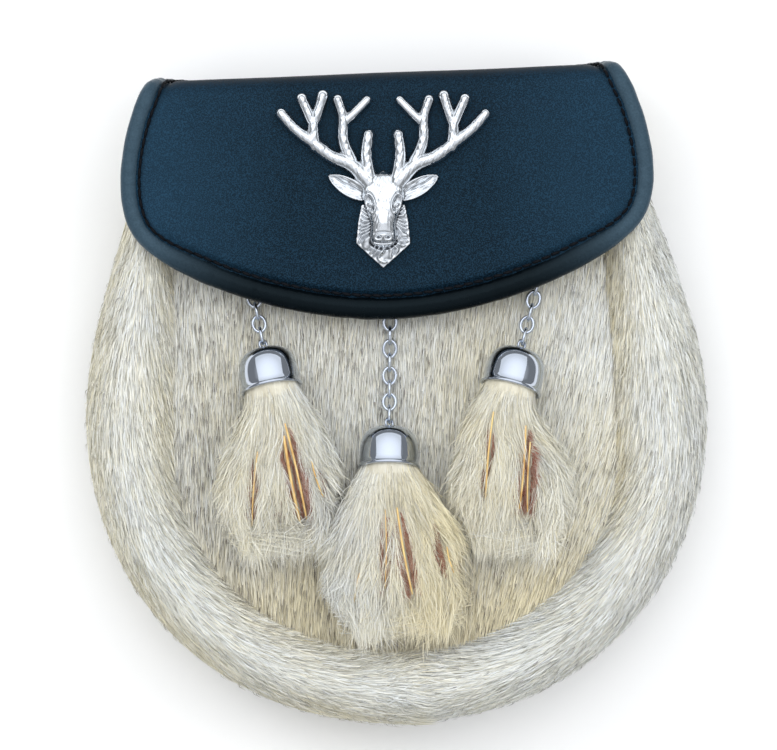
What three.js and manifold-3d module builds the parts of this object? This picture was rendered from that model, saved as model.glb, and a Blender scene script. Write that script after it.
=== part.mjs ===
// A Highland dress pouch (sporran) in fur and leather, lying on its back with the flap shut.
// Units are millimetres. +Z points out of the front, +Y towards the fold of the flap and +X to the
// right as the pouch is looked at. The origin is the middle of the footprint, on the surface it lies on.

import * as THREE from "three";
import { mergeVertices } from "three/addons/utils/BufferGeometryUtils.js";
import Module from "manifold-3d";

const wasm = await Module();
wasm.setup();

// ---- Driving dimensions, mm ----
const GAP = 0.3; // clearance between pieces that touch
const HALF_WIDTH = 94.5; // of the whole pouch, at its widest
const HALF_LENGTH = 99.6; // from the origin to the bottom of the fur
const MOUTH_Y = 89; // top edge of the front, back and gusset
const ROLL_TOP = 45.5; // crown of the fur gusset above the surface
const SEAM_FRONT = 36.5; // where the gusset is sewn to the front
const SEAM_BACK = 7; // where the gusset is sewn to the back
const FUR_WALL = 4; // hide with its fur
const PANEL_TOP = 41.5; // crown of the fur front
const BACK_LEATHER = 2.8;

const FLAP_LEATHER = 3;
const FLAP_MID_Z = 49.6; // middle of the flap's leather over the front
const FLAP_REAR_Z = 4.9; // middle of the flap's leather behind the back panel
const FLAP_FOLD_Y = 91.2; // where the flap starts to turn over
const FLAP_FOLD_RADIUS = 5.5;
const FLAP_DOME = 0.8; // rise of the flap in its middle
const FLAP_REAR_LENGTH = 20;
const FLAP_REAR_HALF_WIDTH = 61;
const FLAP_TOP_HALF_WIDTH = 75.5; // where the fold starts
const FLAP_FOLD_HALF_WIDTH = 71.5; // where the fold ends
const FLAP_BOTTOM_Y = 23.3;
const ROLLED_EDGE_WIDTH = 6.6;
const ROLLED_EDGE_THICKNESS = 5.4;

const CHAIN_Z = 44.27; // height of a chain where it lies on the fur
const CHAIN_DIP = 15; // length over which a chain comes down from its cap
const LINK = { length: 6.2, width: 4.9, wire: 0.9 };
const LINK_PITCH = LINK.length - 2 * LINK.wire - GAP;
const CAP = { radius: 9, height: 13, wall: 1, tilt: 14, mouthZ: 52 };
const CAP_EYE = { radius: 1.5, wire: 0.9 };

// One row for each tassel: the middle of its cap's mouth, the lean of the cap and of the fur in
// degrees, the fur's length and half width, and how many links its chain has.
const TASSELS = [
  { side: "left", x: -37.3, y: 3.4, lean: 9, fan: 2, fall: 52, spread: 17, links: 5 },
  { side: "middle", x: -2.9, y: -22, lean: -2.7, fan: 2, fall: 52.5, spread: 20.5, links: 9 },
  { side: "right", x: 34.7, y: 0.6, lean: -17, fan: -2, fall: 51, spread: 16.5, links: 7 },
];

const BADGE = { x: -1.4, y: 59.1, turn: -2.3, reliefZ: 52.2 };

const STUD = { radius: 5.5, y: 50, set: 0.6 }; // set is how far it goes into the flap's hollow

const LOOP = { x: 42, y: 44, width: 18, strap: 1.8, slot: 5, span: 34, foot: 9 };

const MATERIALS = {
  leather: { color: 0x161c28, roughness: 0.5, metalness: 0 },
  edge: { color: 0x1c2534, roughness: 0.42, metalness: 0 },
  fur: { color: 0xd9d3c4, roughness: 0.9, metalness: 0 },
  chrome: { color: 0xd4d8dd, roughness: 0.12, metalness: 1 },
  pewter: { color: 0xb9bcc0, roughness: 0.28, metalness: 1 },
};

const assembly = new THREE.Group();
const vec2 = (x, y) => new THREE.Vector2(x, y);
const vec3 = (x, y, z) => new THREE.Vector3(x, y, z);

// ---- Closed meshes from rings of points ----

// The signed volume shows which way the faces point, and turns them outwards.
function closedGeometry(points, triangles) {
  let volume = 0;
  for (const [a, b, c] of triangles) {
    volume += points[a].dot(vec3(0, 0, 0).crossVectors(points[b], points[c]));
  }
  const outward = volume > 0 ? triangles : triangles.map(([a, b, c]) => [a, c, b]);
  const geometry = new THREE.BufferGeometry().setFromPoints(points);
  geometry.setIndex(outward.flat());
  return geometry;
}

// Joins rings of equal length into a skin. An open skin is capped with the section's triangles.
function loft(rings, { section = null, loop = false } = {}) {
  const count = rings[0].length;
  const triangles = [];
  const strips = loop ? rings.length : rings.length - 1;
  for (let i = 0; i < strips; i += 1) {
    const here = i * count;
    const there = ((i + 1) % rings.length) * count;
    for (let j = 0; j < count; j += 1) {
      const k = (j + 1) % count;
      triangles.push([here + j, here + k, there + k], [here + j, there + k, there + j]);
    }
  }
  if (!loop) {
    const last = (rings.length - 1) * count;
    for (const [a, b, c] of capTriangles(count, section)) {
      triangles.push([a, c, b], [last + a, last + b, last + c]);
    }
  }
  return closedGeometry(rings.flat(), triangles);
}

// The cap keeps the ring's own turn, whichever way the section's outline runs.
function capTriangles(count, section) {
  if (!section) {
    return Array.from({ length: count - 2 }, (_, i) => [0, i + 1, i + 2]);
  }
  const faces = THREE.ShapeUtils.triangulateShape([...section], []);
  const [a, b, c] = faces[0].map((i) => section[i]);
  const turn = (b.x - a.x) * (c.y - a.y) - (b.y - a.y) * (c.x - a.x);
  const same = turn > 0 === THREE.ShapeUtils.area(section) > 0;
  return same ? faces : faces.map(([i, j, k]) => [i, k, j]);
}

// A filled outline in rings about its middle, with a surface over it and one under it.
function pillow(outline, rings, surface) {
  const middle = vec2(0, 0);
  outline.forEach((p) => middle.addScaledVector(p, 1 / outline.length));
  const sheet = (side) => {
    const points = [surface(middle, 0, side)];
    for (let i = 1; i <= rings; i += 1) {
      const share = Math.sqrt(i / rings);
      outline.forEach((p) => points.push(surface(middle.clone().lerp(p, share), share, side)));
    }
    return points;
  };
  const points = [...sheet(1), ...sheet(-1)];
  const count = outline.length;
  const under = 1 + rings * count;
  const triangles = [];
  for (let j = 0; j < count; j += 1) {
    const k = (j + 1) % count;
    for (let i = 0; i < rings; i += 1) {
      const inner = i === 0 ? [0, 0] : [1 + (i - 1) * count + j, 1 + (i - 1) * count + k];
      const outer = [1 + i * count + j, 1 + i * count + k];
      const faces = [[inner[0], outer[0], outer[1]]];
      if (i > 0) {
        faces.push([inner[0], outer[1], inner[1]]);
      }
      for (const [a, b, c] of faces) {
        triangles.push([a, b, c], [under + a, under + c, under + b]);
      }
    }
    const rim = 1 + (rings - 1) * count;
    triangles.push([rim + j, under + rim + k, rim + k]);
    triangles.push([rim + j, under + rim + j, under + rim + k]);
  }
  return closedGeometry(points, triangles);
}

function asManifold(geometry) {
  const bare = geometry.clone();
  bare.deleteAttribute("normal");
  bare.deleteAttribute("uv");
  const merged = mergeVertices(bare, 1e-4);
  const solid = new wasm.Manifold(
    new wasm.Mesh({
      numProp: 3,
      vertProperties: new Float32Array(merged.attributes.position.array),
      triVerts: new Uint32Array(merged.index.array),
    }),
  );
  return solid;
}

function joined(geometries) {
  const whole = geometries.map(asManifold).reduce((sum, solid) => sum.add(solid));
  const mesh = whole.getMesh();
  const geometry = new THREE.BufferGeometry();
  geometry.setAttribute("position", new THREE.BufferAttribute(mesh.vertProperties, 3));
  geometry.setIndex(new THREE.BufferAttribute(mesh.triVerts, 1));
  return geometry;
}

function addPiece(name, geometry, finish, parent = assembly) {
  const mesh = new THREE.Mesh(geometry, new THREE.MeshStandardMaterial(MATERIALS[finish]));
  mesh.name = name;
  parent.add(mesh);
  return mesh;
}

const radians = THREE.MathUtils.degToRad;

// ---- Outlines, right half, from the mouth to the bottom ----

function halfOutline(upper, lower, steps) {
  const curves = [upper, lower].map(
    (corners) => new THREE.CubicBezierCurve(...corners.map(([x, y]) => vec2(x, y))),
  );
  const points = curves.flatMap((curve, i) => curve.getPoints(steps).slice(i));
  return points;
}

const outerOutline = (steps) =>
  halfOutline(
    [[70, MOUTH_Y], [80, 51], [HALF_WIDTH, 23], [HALF_WIDTH, -6]],
    [[HALF_WIDTH, -6], [HALF_WIDTH, -60], [55, -HALF_LENGTH], [0, -HALF_LENGTH]],
    steps,
  );

const seamOutline = (steps) =>
  halfOutline(
    [[64, MOUTH_Y], [65.5, 50], [68.5, 10], [68, -19]],
    [[68, -19], [66, -59], [30, -78.3], [0, -78.3]],
    steps,
  );

const flapOutline = (steps) =>
  halfOutline(
    [[FLAP_TOP_HALF_WIDTH, FLAP_FOLD_Y], [80, 80], [83.5, 63], [78, 52.5]],
    [[78, 52.5], [71, 39], [32, FLAP_BOTTOM_Y], [0, FLAP_BOTTOM_Y]],
    steps,
  );

// ---- Fur gusset: a C-shaped roll between the front seam and the back seam ----

// Half of the C's wall, from the front seam over the outside to the back seam.
function rollEdge(width, inset) {
  const slopeSteps = 3;
  const arcSteps = 8;
  const crown = width / 2;
  const reach = width - crown - inset;
  const top = ROLL_TOP - inset;
  const middle = ROLL_TOP / 2;
  const points = [];
  for (let i = 0; i < slopeSteps; i += 1) {
    const share = i / slopeSteps;
    points.push(vec2(crown * share, top - (ROLL_TOP - SEAM_FRONT) * (1 - share) ** 2));
  }
  for (let i = 0; i <= arcSteps; i += 1) {
    const angle = Math.PI * (0.5 - i / arcSteps);
    points.push(vec2(crown + reach * Math.cos(angle), middle + (top - middle) * Math.sin(angle)));
  }
  for (let i = slopeSteps - 1; i >= 0; i -= 1) {
    const share = i / slopeSteps;
    points.push(vec2(crown * share, inset + SEAM_BACK * (1 - share) ** 2));
  }
  return points;
}

function gussetGeometry(side) {
  const steps = 10;
  const seam = seamOutline(steps);
  const outer = outerOutline(steps);
  const sections = seam.map((from, i) => {
    const width = from.distanceTo(outer[i]);
    const wall = Math.min(FUR_WALL, width * 0.4);
    return [...rollEdge(width, 0), ...rollEdge(width, wall).reverse()];
  });
  const rings = sections.map((section, i) => {
    const across = outer[i].clone().sub(seam[i]).normalize();
    return section.map((p) => {
      const x = Math.max(seam[i].x + across.x * p.x, GAP / 2);
      return vec3(side * x, seam[i].y + across.y * p.x, p.y);
    });
  });
  return loft(rings, { section: sections[steps] });
}

// ---- Front and back ----

// The seam outline, both halves, drawn in by the clearance.
function panelOutline(steps) {
  const half = seamOutline(steps).map((p) => {
    const inset = p.clone();
    inset.x -= Math.min(GAP, p.x);
    inset.y += p.y < 0 ? GAP : -GAP;
    return inset;
  });
  const left = half.slice(0, -1).map((p) => vec2(-p.x, p.y));
  return [...half, ...left.reverse()];
}

function frontSurface(p, share, side) {
  const rise = (PANEL_TOP - SEAM_FRONT) * (1 - share ** 3);
  const thickness = side > 0 ? 0 : FUR_WALL;
  return vec3(p.x, p.y, SEAM_FRONT + rise - thickness);
}

function backSurface(p, share, side) {
  return vec3(p.x, p.y, side > 0 ? SEAM_BACK + BACK_LEATHER : SEAM_BACK);
}

// ---- Flap: one sheet over the front, round the fold and down behind the back ----

const FOLD_ARC = (Math.PI / 2) * FLAP_FOLD_RADIUS;
const FOLD_WALL = FLAP_MID_Z - FLAP_REAR_Z - 2 * FLAP_FOLD_RADIUS;

// Bends a place on the flat sheet: s runs up the front, is 0 at the fold and grows over it.
function bend(x, s, height) {
  const radius = FLAP_FOLD_RADIUS;
  if (s <= 0) {
    const across = Math.min(Math.abs(x) / 76, 1);
    const along = Math.min(Math.abs(s + 30) / 40, 1);
    const dome = FLAP_DOME * (1 - across ** 2) * (1 - along ** 2);
    return vec3(x, FLAP_FOLD_Y + s, FLAP_MID_Z + dome + height);
  }
  if (s <= FOLD_ARC) {
    const turn = s / radius;
    const y = FLAP_FOLD_Y + (radius + height) * Math.sin(turn);
    return vec3(x, y, FLAP_MID_Z - radius + (radius + height) * Math.cos(turn));
  }
  if (s <= FOLD_ARC + FOLD_WALL) {
    return vec3(x, FLAP_FOLD_Y + radius + height, FLAP_MID_Z - radius - (s - FOLD_ARC));
  }
  if (s <= 2 * FOLD_ARC + FOLD_WALL) {
    const turn = (s - FOLD_ARC - FOLD_WALL) / radius;
    const y = FLAP_FOLD_Y + (radius + height) * Math.cos(turn);
    return vec3(x, y, FLAP_REAR_Z + radius - (radius + height) * Math.sin(turn));
  }
  return vec3(x, FLAP_FOLD_Y - (s - 2 * FOLD_ARC - FOLD_WALL), FLAP_REAR_Z - height);
}

// The flat sheet's edge, right half: the rear end, the fold, then the front down to the bottom.
function flapEdge() {
  const foldSteps = 4;
  const foldEnd = FOLD_ARC + FOLD_WALL;
  const rows = [vec2(FLAP_REAR_HALF_WIDTH, foldEnd + FOLD_ARC + FLAP_REAR_LENGTH)];
  for (let i = foldSteps; i >= 0; i -= 1) {
    rows.push(vec2(FLAP_REAR_HALF_WIDTH, foldEnd + (FOLD_ARC * i) / foldSteps));
  }
  for (let i = foldSteps; i > 0; i -= 1) {
    const share = i / foldSteps;
    const half = THREE.MathUtils.lerp(FLAP_TOP_HALF_WIDTH, FLAP_FOLD_HALF_WIDTH, share);
    rows.push(vec2(half, FOLD_ARC * share));
  }
  flapOutline(9).forEach((p) => rows.push(vec2(p.x, p.y - FLAP_FOLD_Y)));
  return rows;
}

// The edge drawn in by a distance, square to the edge's own run.
function drawnIn(edge, distance) {
  return edge.map((p, i) => {
    const before = edge[Math.max(i - 1, 0)];
    const after = i === edge.length - 1 ? vec2(-before.x, before.y) : edge[i + 1];
    const run = after.clone().sub(before).normalize();
    return vec2(p.x + run.y * distance, p.y - run.x * distance);
  });
}

function flapGeometry() {
  const columns = 12;
  const edge = drawnIn(flapEdge(), ROLLED_EDGE_WIDTH + GAP);
  const tip = edge[edge.length - 1];
  tip.x = 3;
  const rings = edge.map((p) => {
    const row = (height) =>
      Array.from({ length: columns + 1 }, (_, i) => {
        const x = p.x * ((2 * i) / columns - 1);
        return bend(x, p.y, height);
      });
    return [...row(FLAP_LEATHER / 2), ...row(-FLAP_LEATHER / 2).reverse()];
  });
  const section = [...Array(2 * columns + 2).keys()].map((i) => {
    const under = i > columns;
    return vec2(under ? 2 * columns + 1 - i : i, under ? -1 : 1);
  });
  return loft(rings, { section });
}

// The rolled edge runs round the front and over the fold, and stops above the back.
function rolledEdgeGeometry() {
  const sides = 8;
  const right = flapEdge().filter((p) => p.y <= FOLD_ARC + FOLD_WALL);
  const whole = [...right, ...right.slice(0, -1).map((p) => vec2(-p.x, p.y)).reverse()];
  const middle = drawnIn(right, ROLLED_EDGE_WIDTH / 2);
  const rings = whole.map((_, i) => {
    const mirrored = i >= right.length;
    const row = mirrored ? whole.length - 1 - i : i;
    const outwards = right[row].clone().sub(middle[row]).normalize();
    return Array.from({ length: sides }, (_unused, j) => {
      const angle = (2 * Math.PI * j) / sides;
      const reach = (ROLLED_EDGE_WIDTH / 2) * Math.cos(angle);
      const x = middle[row].x + outwards.x * reach;
      const height = (ROLLED_EDGE_THICKNESS / 2) * Math.sin(angle);
      return bend(mirrored ? -x : x, middle[row].y + outwards.y * reach, height);
    });
  });
  return loft(rings);
}

// ---- Closure, strap loops ----

function studGeometry() {
  const { radius, y, set } = STUD;
  const low = PANEL_TOP + GAP;
  const high = FLAP_MID_Z - FLAP_LEATHER / 2 + set;
  const geometry = new THREE.CylinderGeometry(radius, radius, high - low, 20);
  geometry.rotateX(Math.PI / 2);
  geometry.translate(0, y, (high + low) / 2);
  return geometry;
}

// A strap that leaves the back, runs flat along the surface and comes back to it.
function strapLoopGeometry(side) {
  const { width, strap, slot, span, foot } = LOOP;
  const half = span / 2;
  const level = SEAM_BACK - GAP;
  const shape = new THREE.Shape();
  shape.moveTo(-half - foot, level);
  shape.lineTo(-half - foot, level - strap);
  shape.lineTo(-half, level - strap);
  shape.lineTo(-half + 2, 0);
  shape.lineTo(half - 2, 0);
  shape.lineTo(half, level - strap);
  shape.lineTo(half + foot, level - strap);
  shape.lineTo(half + foot, level);
  shape.lineTo(half - 1, level);
  shape.lineTo(half - 3.2, level - slot + 0.1);
  shape.lineTo(-half + 3.2, level - slot + 0.1);
  shape.lineTo(-half + 1, level);
  const geometry = new THREE.ExtrudeGeometry(shape, { depth: width, bevelEnabled: false });
  geometry.rotateY(Math.PI / 2).rotateX(Math.PI / 2);
  geometry.translate(side * LOOP.x - width / 2, LOOP.y, 0);
  return geometry;
}

// ---- Tassels with their caps and chains ----

function linkGeometry() {
  const steps = 12;
  const sides = 5;
  const rings = Array.from({ length: steps }, (_, i) => {
    const angle = (2 * Math.PI * i) / steps;
    const outwards = vec2(Math.cos(angle), Math.sin(angle));
    const centre = vec2(
      ((LINK.width - LINK.wire) / 2) * outwards.x,
      ((LINK.length - LINK.wire) / 2) * outwards.y,
    );
    return Array.from({ length: sides }, (_unused, j) => {
      const turn = (2 * Math.PI * j) / sides;
      const reach = (LINK.wire / 2) * Math.cos(turn);
      return vec3(
        centre.x + outwards.x * reach,
        centre.y + outwards.y * reach,
        (LINK.wire / 2) * Math.sin(turn),
      );
    });
  });
  return loft(rings, { loop: true });
}

// The cap stands on its mouth at z 0 with its eye on top.
function capGeometry() {
  const { radius, height, wall } = CAP;
  const straight = height - radius;
  const arcSteps = 5;
  const arc = (r) =>
    Array.from({ length: arcSteps + 1 }, (_, i) => {
      const angle = (Math.PI / 2) * (i / arcSteps);
      return vec2(r * Math.cos(angle), straight + r * Math.sin(angle));
    });
  const outer = [vec2(radius + 0.35, 0), vec2(radius + 0.1, 1.2), ...arc(radius)];
  const inner = [vec2(radius - wall, 0), ...arc(radius - wall)].reverse();
  const profile = [...outer, ...inner, outer[0].clone()];
  profile.filter((p) => p.x < 1e-6).forEach((p) => (p.x = 0));
  const bell = new THREE.LatheGeometry(profile, 20).rotateX(Math.PI / 2);
  const eye = new THREE.TorusGeometry(CAP_EYE.radius, CAP_EYE.wire / 2, 5, 12);
  eye.rotateX(Math.PI / 2);
  eye.translate(0, 0, height + CAP_EYE.radius - 0.2);
  return joined([bell, eye]);
}

// Sections of a tassel down its length: shares of the fall and of the spread, height and drop in mm.
const TASSEL_SECTIONS = [
  { along: -0.09, wide: null, high: 7.3, drop: 0 },
  { along: 0.01, wide: null, high: 7.4, drop: 0 },
  { along: 0.07, wide: 0.6, high: 8.7, drop: 0 },
  { along: 0.25, wide: 0.74, high: 9.6, drop: 0.2 },
  { along: 0.5, wide: 0.85, high: 9.6, drop: 0.5 },
  { along: 0.74, wide: 0.98, high: 8.9, drop: 1.2 },
  { along: 0.91, wide: 0.95, high: 7, drop: 3 },
  { along: 1, wide: 0.6, high: 3.6, drop: 5.4 },
];

function tasselGeometry({ fall, spread, lean, fan }) {
  const sides = 24;
  const strips = 6;
  const rings = TASSEL_SECTIONS.map(({ along, wide, high, drop }) => {
    const inCap = wide === null;
    const turn = radians(inCap ? lean : lean * Math.max(0, 0.5 - along) * 2 + fan);
    const run = fall * along;
    const rise = inCap ? run * Math.tan(radians(CAP.tilt)) : Math.min(run, 3) * 0.2;
    const half = inCap ? high : wide * spread;
    const ripple = inCap ? 0 : 0.05 * Math.min(1, along * 2);
    return Array.from({ length: sides }, (_, j) => {
      const angle = (2 * Math.PI * j) / sides;
      const swell = 1 + ripple * Math.cos(strips * angle);
      const across = half * swell * Math.cos(angle);
      const up = high * swell * Math.sin(angle);
      const back = inCap ? up * Math.tan(radians(CAP.tilt)) : 0;
      const down = run - back;
      return vec3(
        across * Math.cos(turn) + down * Math.sin(turn),
        across * Math.sin(turn) - down * Math.cos(turn),
        rise + up - drop,
      );
    });
  });
  return loft(rings);
}

// The chain leaves the cap's eye, comes down to the fur and runs flat under the flap.
function chainRoute({ x, y, lean, links }) {
  const direction = vec2(-Math.sin(radians(lean)), Math.cos(radians(lean)));
  const eyeReach = CAP.height + CAP_EYE.radius * 2 - 0.2 - CAP_EYE.wire;
  const tilt = radians(CAP.tilt);
  const start = eyeReach * Math.cos(tilt) + CAP_EYE.wire / 2;
  const eyeZ = CAP.mouthZ - eyeReach * Math.sin(tilt);
  const place = (distance) => {
    const fade = Math.max(0, 1 - distance / CHAIN_DIP) ** 2;
    const reach = start + distance;
    return vec3(x + direction.x * reach, y + direction.y * reach, CHAIN_Z + (eyeZ - CHAIN_Z) * fade);
  };
  const stops = [];
  let travelled = LINK_PITCH / 2 - GAP;
  for (let i = 0; i < links; i += 1) {
    stops.push({ at: place(travelled), ahead: place(travelled + 1), behind: place(travelled - 1) });
    const slope = stops[i].ahead.distanceTo(stops[i].behind) / 2;
    travelled += LINK_PITCH / slope;
  }
  const staple = place(travelled - LINK_PITCH + LINK.length / 2 - LINK.wire * 1.5 - GAP);
  return { stops, staple, direction };
}

function addChain(row) {
  const { stops, staple, direction } = chainRoute(row);
  const across = vec3(direction.y, -direction.x, 0);
  stops.forEach(({ at, ahead, behind }, i) => {
    const along = ahead.clone().sub(behind).normalize();
    const up = vec3(0, 0, 0).crossVectors(across, along);
    const basis = new THREE.Matrix4().makeBasis(across, along, up);
    const link = addPiece(`chain_${row.side}_link_${i + 1}`, linkGeometry(), "chrome");
    link.quaternion.setFromRotationMatrix(basis);
    link.rotateY(i % 2 === 0 ? Math.PI / 2 : 0); // every other link stands on edge
    link.position.copy(at);
  });
  const arch = addPiece(`chain_staple_${row.side}`, stapleGeometry(staple.z), "chrome");
  arch.position.set(staple.x, staple.y, 0);
  arch.rotation.z = Math.atan2(across.y, across.x);
}

// A wire arch that stands on the fur front, across the chain.
function stapleGeometry(top) {
  const wire = 0.8;
  const half = 3;
  const foot = PANEL_TOP + GAP;
  const arc = Array.from({ length: 9 }, (_, i) => {
    const angle = Math.PI * (1 - i / 8);
    return vec3(half * Math.cos(angle), 0, foot + (top - foot) * Math.sin(angle));
  });
  arc[0].z = foot;
  arc[8].z = foot;
  const rings = arc.map((centre, i) => {
    const before = arc[Math.max(i - 1, 0)];
    const after = arc[Math.min(i + 1, 8)];
    const along = i % 8 === 0 ? vec3(0, 0, i === 0 ? 1 : -1) : after.clone().sub(before).normalize();
    const side = vec3(0, 1, 0);
    const out = vec3(0, 0, 0).crossVectors(along, side);
    return Array.from({ length: 6 }, (_unused, j) => {
      const turn = (2 * Math.PI * j) / 6;
      const point = centre.clone();
      point.addScaledVector(side, (wire / 2) * Math.cos(turn));
      return point.addScaledVector(out, (wire / 2) * Math.sin(turn));
    });
  });
  return loft(rings);
}

function addTassel(row) {
  const hanger = new THREE.Group();
  hanger.position.set(row.x, row.y, CAP.mouthZ);
  assembly.add(hanger);
  const bell = new THREE.Group();
  bell.rotation.z = radians(row.lean);
  hanger.add(bell);
  const cap = addPiece(`tassel_cap_${row.side}`, capGeometry(), "chrome", bell);
  cap.rotation.x = radians(-90 - CAP.tilt);
  addPiece(`tassel_${row.side}`, tasselGeometry(row), "fur", hanger);
  addChain(row);
}

// ---- Stag's head badge, one casting, drawn about the middle of its forehead ----

// One row for each antler branch of the right side: its route, and its radius at root and tip.
const ANTLER = [
  { root: 1.9, tip: 1, route: [[4.5, 6], [9.6, 11], [15.6, 13.5], [21, 17.5], [26.6, 21.7], [30.9, 26.4]] },
  { root: 1.5, tip: 0.9, route: [[4.2, 6], [5.1, 14], [4.5, 20.1]] },
  { root: 1.6, tip: 1.4, route: [[9.2, 11.6], [12, 18], [12.1, 24.5]] },
  { root: 1.4, tip: 0.9, route: [[12.1, 23.8], [12.6, 27], [13.8, 30.6]] },
  { root: 1.4, tip: 0.9, route: [[12.1, 23.6], [9, 26.4], [4.9, 30.5]] },
  { root: 1.6, tip: 1.4, route: [[20.6, 16.6], [21.1, 20], [21.2, 23.6]] },
  { root: 1.4, tip: 0.9, route: [[21.2, 23], [22.9, 27], [24.7, 30.9]] },
  { root: 1.4, tip: 0.9, route: [[21.2, 23], [19.6, 27.4], [18.3, 31.8]] },
];

// Sections of the face from the poll to the chin.
const FACE = [
  { y: 8, half: 2.6, rise: 2 },
  { y: 5.5, half: 5.6, rise: 3.4 },
  { y: 2, half: 6.2, rise: 4.4 },
  { y: -3, half: 4.8, rise: 5 },
  { y: -8, half: 3.2, rise: 5.2 },
  { y: -11.5, half: 3.1, rise: 5 },
  { y: -13.6, half: 1.8, rise: 3.4 },
];

const RUFF = [[6.6, -1], [7.6, -6], [8.3, -12.8], [4.4, -16.4], [0, -20.3]];

function branchGeometry({ root, tip, route }, side) {
  const steps = 2 * (route.length - 1);
  const sides = 6;
  const curve = new THREE.CatmullRomCurve3(route.map(([x, y]) => vec3(side * x, y, 0)));
  const rings = Array.from({ length: steps + 1 }, (_, i) => {
    const share = i / steps;
    const centre = curve.getPointAt(share);
    const along = curve.getTangentAt(share);
    const radius = THREE.MathUtils.lerp(root, tip, share);
    return Array.from({ length: sides }, (_unused, j) => {
      const angle = (2 * Math.PI * (j + 0.5)) / sides;
      const reach = radius * Math.cos(angle);
      const up = 1 + radius * Math.sin(angle);
      return vec3(centre.x - along.y * reach, centre.y + along.x * reach, Math.max(0, up));
    });
  });
  return loft(rings);
}

function domed(rows, steps) {
  const rings = rows.map(({ x = 0, y, half, rise }) =>
    Array.from({ length: steps + 1 }, (_, j) => {
      const angle = (Math.PI * j) / steps;
      return vec3(x + half * Math.cos(angle), y, rise * Math.sin(angle));
    }),
  );
  return loft(rings);
}

function earGeometry(side) {
  const rows = [
    { y: 0, half: 1.2, rise: 2.2 },
    { y: 3, half: 2.4, rise: 2.2 },
    { y: 7, half: 2.2, rise: 1.8 },
    { y: 10.8, half: 0.4, rise: 0.8 },
  ];
  const ear = domed(rows, 6);
  ear.rotateZ(radians(-59 * side));
  return ear.translate(side * 5.8, 2, 0);
}

function ruffGeometry() {
  const right = RUFF.map(([x, y]) => vec2(x, y));
  const left = right.slice(0, -1).map((p) => vec2(-p.x, p.y));
  const surface = (p, share, side) => vec3(p.x, p.y, side > 0 ? 1.2 + 1.8 * (1 - share ** 2) : 0);
  return pillow([...right, ...left.reverse()], 2, surface);
}

function badgeGeometry() {
  const antlers = [1, -1].flatMap((side) => ANTLER.map((row) => branchGeometry(row, side)));
  const ears = [1, -1].map((side) => earGeometry(side));
  return joined([...antlers, ...ears, ruffGeometry(), domed(FACE, 8)]);
}

// ---- Assembly ----

addPiece("front_panel", pillow(panelOutline(11), 5, frontSurface), "fur");
addPiece("back_panel", pillow(panelOutline(11), 1, backSurface), "leather");
addPiece("gusset_left", gussetGeometry(-1), "fur");
addPiece("gusset_right", gussetGeometry(1), "fur");
addPiece("flap", flapGeometry(), "leather");
addPiece("flap_rolled_edge", rolledEdgeGeometry(), "edge");
addPiece("snap_stud", studGeometry(), "pewter");
addPiece("strap_loop_left", strapLoopGeometry(-1), "leather");
addPiece("strap_loop_right", strapLoopGeometry(1), "leather");
TASSELS.forEach(addTassel);

const badge = addPiece("stag_badge", badgeGeometry(), "pewter");
badge.position.set(BADGE.x, BADGE.y, BADGE.reliefZ);
badge.rotation.z = radians(BADGE.turn);

export default assembly;
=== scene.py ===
"""Looks of a Highland dress pouch: short pale fur, a black leather flap with a rolled edge, a
stag's head badge and three fur tassels under bright bells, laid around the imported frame's solids.
Lengths in the tables are millimetres in the frame's own axes; meshes are made in metres."""

import math

import bpy
import numpy as np
from bpy.props import FloatProperty, FloatVectorProperty, IntProperty, PointerProperty
from mathutils import Matrix, Vector


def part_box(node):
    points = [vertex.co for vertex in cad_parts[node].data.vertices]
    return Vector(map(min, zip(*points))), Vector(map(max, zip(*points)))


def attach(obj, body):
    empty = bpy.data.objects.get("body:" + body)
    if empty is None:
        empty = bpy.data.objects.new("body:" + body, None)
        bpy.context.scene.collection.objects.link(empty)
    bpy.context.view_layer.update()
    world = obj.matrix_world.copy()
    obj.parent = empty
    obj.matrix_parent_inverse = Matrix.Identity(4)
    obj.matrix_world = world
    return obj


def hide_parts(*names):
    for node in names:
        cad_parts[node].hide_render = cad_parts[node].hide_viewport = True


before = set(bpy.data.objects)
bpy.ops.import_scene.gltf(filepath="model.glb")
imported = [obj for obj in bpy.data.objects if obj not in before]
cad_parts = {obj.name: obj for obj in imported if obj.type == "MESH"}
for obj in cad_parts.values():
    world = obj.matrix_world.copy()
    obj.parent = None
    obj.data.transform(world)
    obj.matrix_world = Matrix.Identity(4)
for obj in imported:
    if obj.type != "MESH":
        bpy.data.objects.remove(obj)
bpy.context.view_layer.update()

bl_info = {
    "name": "Dress Pouch",
    "version": (1, 0, 0),
    "blender": (4, 5, 0),
    "location": "View3D > Sidebar > Pouch",
    "description": "Builds the fur, leather and metal of a Highland dress pouch around its frame",
    "category": "Add Mesh",
}

MM = 0.001


def frame_mm(node):
    """The lowest and highest corner of a frame node, in millimetres."""
    return [np.array(corner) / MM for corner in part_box(node)]


# ---- Driving places, the first few read from the frame ----

ROLL_LOW, ROLL_HIGH = frame_mm("gusset_right")
HALF_WIDTH, MOUTH_Y, ROLL_TOP = ROLL_HIGH
BOTTOM_Y = ROLL_LOW[1]
SEAM_BACK = frame_mm("back_panel")[0][2]
PANEL_TOP = frame_mm("front_panel")[1][2]

SEAM_FRONT = 36.5  # height of the seam between the front and the gusset
SEAM_SLOPE = 0.18  # share of the gusset's section that falls to each seam
FUR_WALL = 4
FRONT_INSET = 1.3  # from the top of the fur down to the hide
ROLL_INSET = 1.4
FLOOR_GAP = 0.1

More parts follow.
